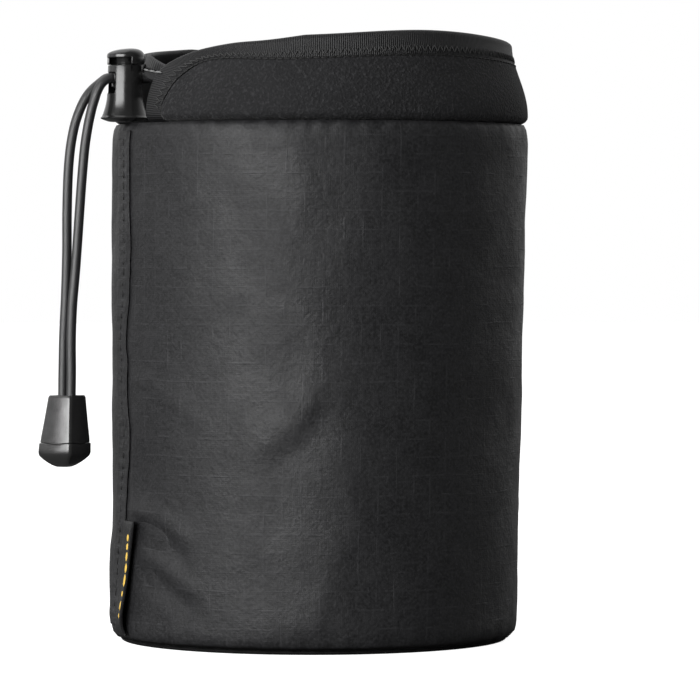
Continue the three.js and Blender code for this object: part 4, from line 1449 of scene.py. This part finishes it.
def make_spring():
    """The coil under the plunger, which the button presses together."""
    foot, head = node_heights("lock_spring")
    bottom, top = foot + SPRING_WIRE / 2, head - SPRING_WIRE / 2

    def place(u, v):
        angle, round_wire = 360 * SPRING_TURNS * u, 2 * math.pi * v
        reach = SPRING_RADIUS + SPRING_WIRE / 2 * math.cos(round_wire)
        return spot(angle, reach, blend(bottom, top, u) + SPRING_WIRE / 2 * math.sin(round_wire))

    wire = moved(capped(laid(SPRING_TURNS * 40, 12, place, 90, 2.2)), LOCK_CENTRE)
    spring = piece("coil_spring", wire, steel_finish(), "spring_steel", "lock_spring")
    anchor = at_height(LOCK_CENTRE, foot) * METRES
    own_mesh(spring)


# Cord end
BELL_TURN = 15
BELL_CORNER_LOW = 8.05
BELL_SMILE = 0.4
SMILE_REACH = 2.2
FACE_BULGE = 0.055
CORNER_ROUNDING = 1.0
CAVITY_LOW = 4.7
CAVITY_TOP = 3.9
THROAT_RADIUS = 3.5
THROAT_DEPTH = 3
SEAT_GAP = 0.03
BOSS_GAP = 0.3
BOSS_CHAMFER = 0.4
KNOT_RADIUS = 2.5
KNOT_BULGE = 0.8
KNOT_STEPS = 24
# Up the outside of the bell and of its plug: half across the corners, and height above the lower end
BELL_STATIONS = [
    (7.85, 0), (8.05, 0.25), (7.9, 1.6), (7.62, 3.5), (7.1, 7),
    (6.62, 10.5), (6.2, 13.7), (6.02, 14.2), (5.7, 14.5),
]
PLUG_STATIONS = [
    (2.4, 0), (3, 0.1), (4.3, 0.65), (5.6, 1.4), (6.7, 2.15), (7.5, 2.8),
    (8.1, 3.4), (8.38, 3.9), (8.5, 4.6), (8.4, 7), (8.34, 7.2), (8.1, 7.35),
]
SQUARE_SIDES = 160


def square_reach(angle, corner, rounding):
    """How far out a square with rounded corners reaches, at an angle from one of its corners."""
    off = abs((angle + 45) % 90 - 45)
    turn = math.radians(45 - off)
    flat = corner / math.sqrt(2)
    bulge = FACE_BULGE * flat * (1 - math.tan(turn) ** 2)
    if flat * math.tan(turn) <= flat - rounding:
        return flat / math.cos(turn) + bulge
    middle = (flat - rounding) * (math.cos(turn) + math.sin(turn))
    return middle + math.sqrt(middle**2 - 2 * (flat - rounding) ** 2 + rounding**2) + bulge


def squared(stations, bottom, smile_at):
    """A four-sided solid round the bell's axis. One edge hangs lower in the middle of each face."""

    def place(u, v):
        corner, up = stations[round(v * (len(stations) - 1))]
        angle = 360 * u
        rounding = min(CORNER_ROUNDING, corner / 2)
        middle = 0.5 - 0.5 * math.cos(math.radians(4 * angle))
        near = fading(bottom + up - smile_at, SMILE_REACH)
        height = bottom + up - BELL_SMILE * middle * near * (corner / BELL_CORNER_LOW) ** 6
        return spot(BELL_TURN + angle, square_reach(angle, corner, rounding), height)

    return capped(laid(SQUARE_SIDES, len(stations) - 1, place, 4 * BELL_CORNER_LOW, BELL_TOP - BELL_BOTTOM))


def cord_end_piece(name, mesh, *replaced):
    mesh = moved(mesh, BELL_CENTRE)
    options = {"body": "cord_tail", "lean": CORD_END_LEAN, "sharp_from": 30}
    return piece(name, mesh, CORD_END_PLASTIC, "cord_end_plastic", *replaced, **options)


def make_cord_end():
    cavity = [
        (0, BELL_BOTTOM - 3),
        (CAVITY_LOW, BELL_BOTTOM - 3),
        (CAVITY_LOW, BELL_BOTTOM),
        (CAVITY_TOP, BELL_TOP - THROAT_DEPTH),
        (THROAT_RADIUS, BELL_TOP - THROAT_DEPTH),
        (THROAT_RADIUS, BELL_TOP - 0.4),
        (THROAT_RADIUS + 0.12, BELL_TOP - 0.12),
        (THROAT_RADIUS + 0.5, BELL_TOP + 0.02),
        (THROAT_RADIUS + 0.5, BELL_TOP + 1),
        (0, BELL_TOP + 1),
    ]
    bell = carved(squared(BELL_STATIONS, BELL_BOTTOM, BELL_BOTTOM), turned(cavity, 64, closed=False))
    bell = cord_end_piece("cord_bell", bell, "cord_end_shell")
    seat = BELL_BOTTOM - SEAT_GAP
    plug = squared(PLUG_STATIONS, seat - PLUG_STATIONS[-1][1], seat)
    plug = cord_end_piece("cord_end_cap", plug, "cord_end_plug")
    boss_radius = CAVITY_LOW - BOSS_GAP
    boss = [
        (0, BELL_BOTTOM - 4),
        (boss_radius, BELL_BOTTOM - 4),
        (boss_radius, BOSS_TOP - BOSS_CHAMFER),
        (boss_radius - BOSS_CHAMFER, BOSS_TOP),
        (0, BOSS_TOP),
    ]
    boss = cord_end_piece("cord_end_boss", turned(boss, 64, closed=False))
    bottom, top = node_heights("drawcord_knot")
    profile = [(0, bottom)]
    for i in range(KNOT_STEPS + 1):
        share = i / KNOT_STEPS
        reach = KNOT_RADIUS + KNOT_BULGE * abs(math.sin(3 * math.pi * share))
        profile.append((reach, blend(bottom, top, share)))
    knot = moved(turned([*profile, (0, top)], 48, closed=False), BELL_CENTRE)
    options = {"body": "cord_tail", "lean": CORD_END_LEAN}
    knot = piece("end_knot", knot, BRAID, "cord_braid", "drawcord_knot", **options)
    return [bell, plug, boss, knot]


cord_strands = make_cords()
make_sleeve()
make_side_seam()
make_label()
make_base()
make_collar()
make_hem()
make_mouths()
make_barrel()
make_plunger()
make_spring()
declare_cords(cord_strands, make_cord_end())

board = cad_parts["base_board"].data
board.materials.clear()
board.materials.append(board_finish())


# Stage
FLOOR_SIZE = 6
FLOOR_GLOW = 0.94


def make_stage():
    mesh = bmesh.new()
    bmesh.ops.create_grid(mesh, x_segments=1, y_segments=1, size=FLOOR_SIZE)
    floor = mesh_object("floor", mesh)
    pale = Finish("pale_floor", (0.5, 0.5, 0.5), 0.95, Specular_IOR_Level=0.0)
    seen = pale.add("ShaderNodeLightPath").outputs["Is Camera Ray"]
    pale.colour(pale.mixed(seen, (0.12, 0.12, 0.12), (0.5, 0.5, 0.5)))
    pale.shader.inputs["Emission Color"].default_value = (1, 1, 1, 1)
    pale.feed(pale.shader.inputs["Emission Strength"], pale.times(seen, FLOOR_GLOW))
    floor.data.materials.append(pale.material)


def make_light(name, place, target, size, size_up, power):
    data = bpy.data.lights.new(name, "AREA")
    data.shape = "RECTANGLE"
    data.size, data.size_y = size, size_up
    data.energy = power
    light = placed(name, data)
    light.location = place
    light.rotation_euler = (Vector(target) - Vector(place)).to_track_quat("-Z", "Y").to_euler()


def make_world():
    """White where the camera sees it; for lighting, bright behind the object and dim in front of it."""
    world = bpy.data.worlds.new("studio")
    bpy.context.scene.world = world
    world.use_nodes = True
    tree = world.node_tree
    background = tree.nodes["Background"]
    coordinate = tree.nodes.new("ShaderNodeTexCoord")
    parts = tree.nodes.new("ShaderNodeSeparateXYZ")
    tree.links.new(coordinate.outputs["Generated"], parts.inputs[0])
    behind = tree.nodes.new("ShaderNodeMapRange")
    for socket, value in (("From Min", -0.2), ("From Max", 0.6), ("To Min", 0.085), ("To Max", 0.95)):
        behind.inputs[socket].default_value = value
    tree.links.new(parts.outputs["Y"], behind.inputs["Value"])
    path = tree.nodes.new("ShaderNodeLightPath")
    shown = tree.nodes.new("ShaderNodeMix")
    shown.inputs["B"].default_value = 1.0
    tree.links.new(path.outputs["Is Camera Ray"], shown.inputs["Factor"])
    tree.links.new(behind.outputs[0], shown.inputs["A"])
    tree.links.new(shown.outputs["Result"], background.inputs["Strength"])
    background.inputs["Color"].default_value = (1, 1, 1, 1)


make_stage()
make_light("key", (-1.0, -1.5, 0.35), (0, 0, 0.1), 1.7, 1.4, 66)
make_light("left_fill", (-2.2, -0.3, 0.4), (0, 0, 0.1), 1.4, 1.6, 5)
make_light("top", (-0.7, 0.1, 1.5), (0, 0, 0.15), 1.6, 1.6, 8)
make_world()
bpy.context.scene.view_settings.view_transform = "Standard"
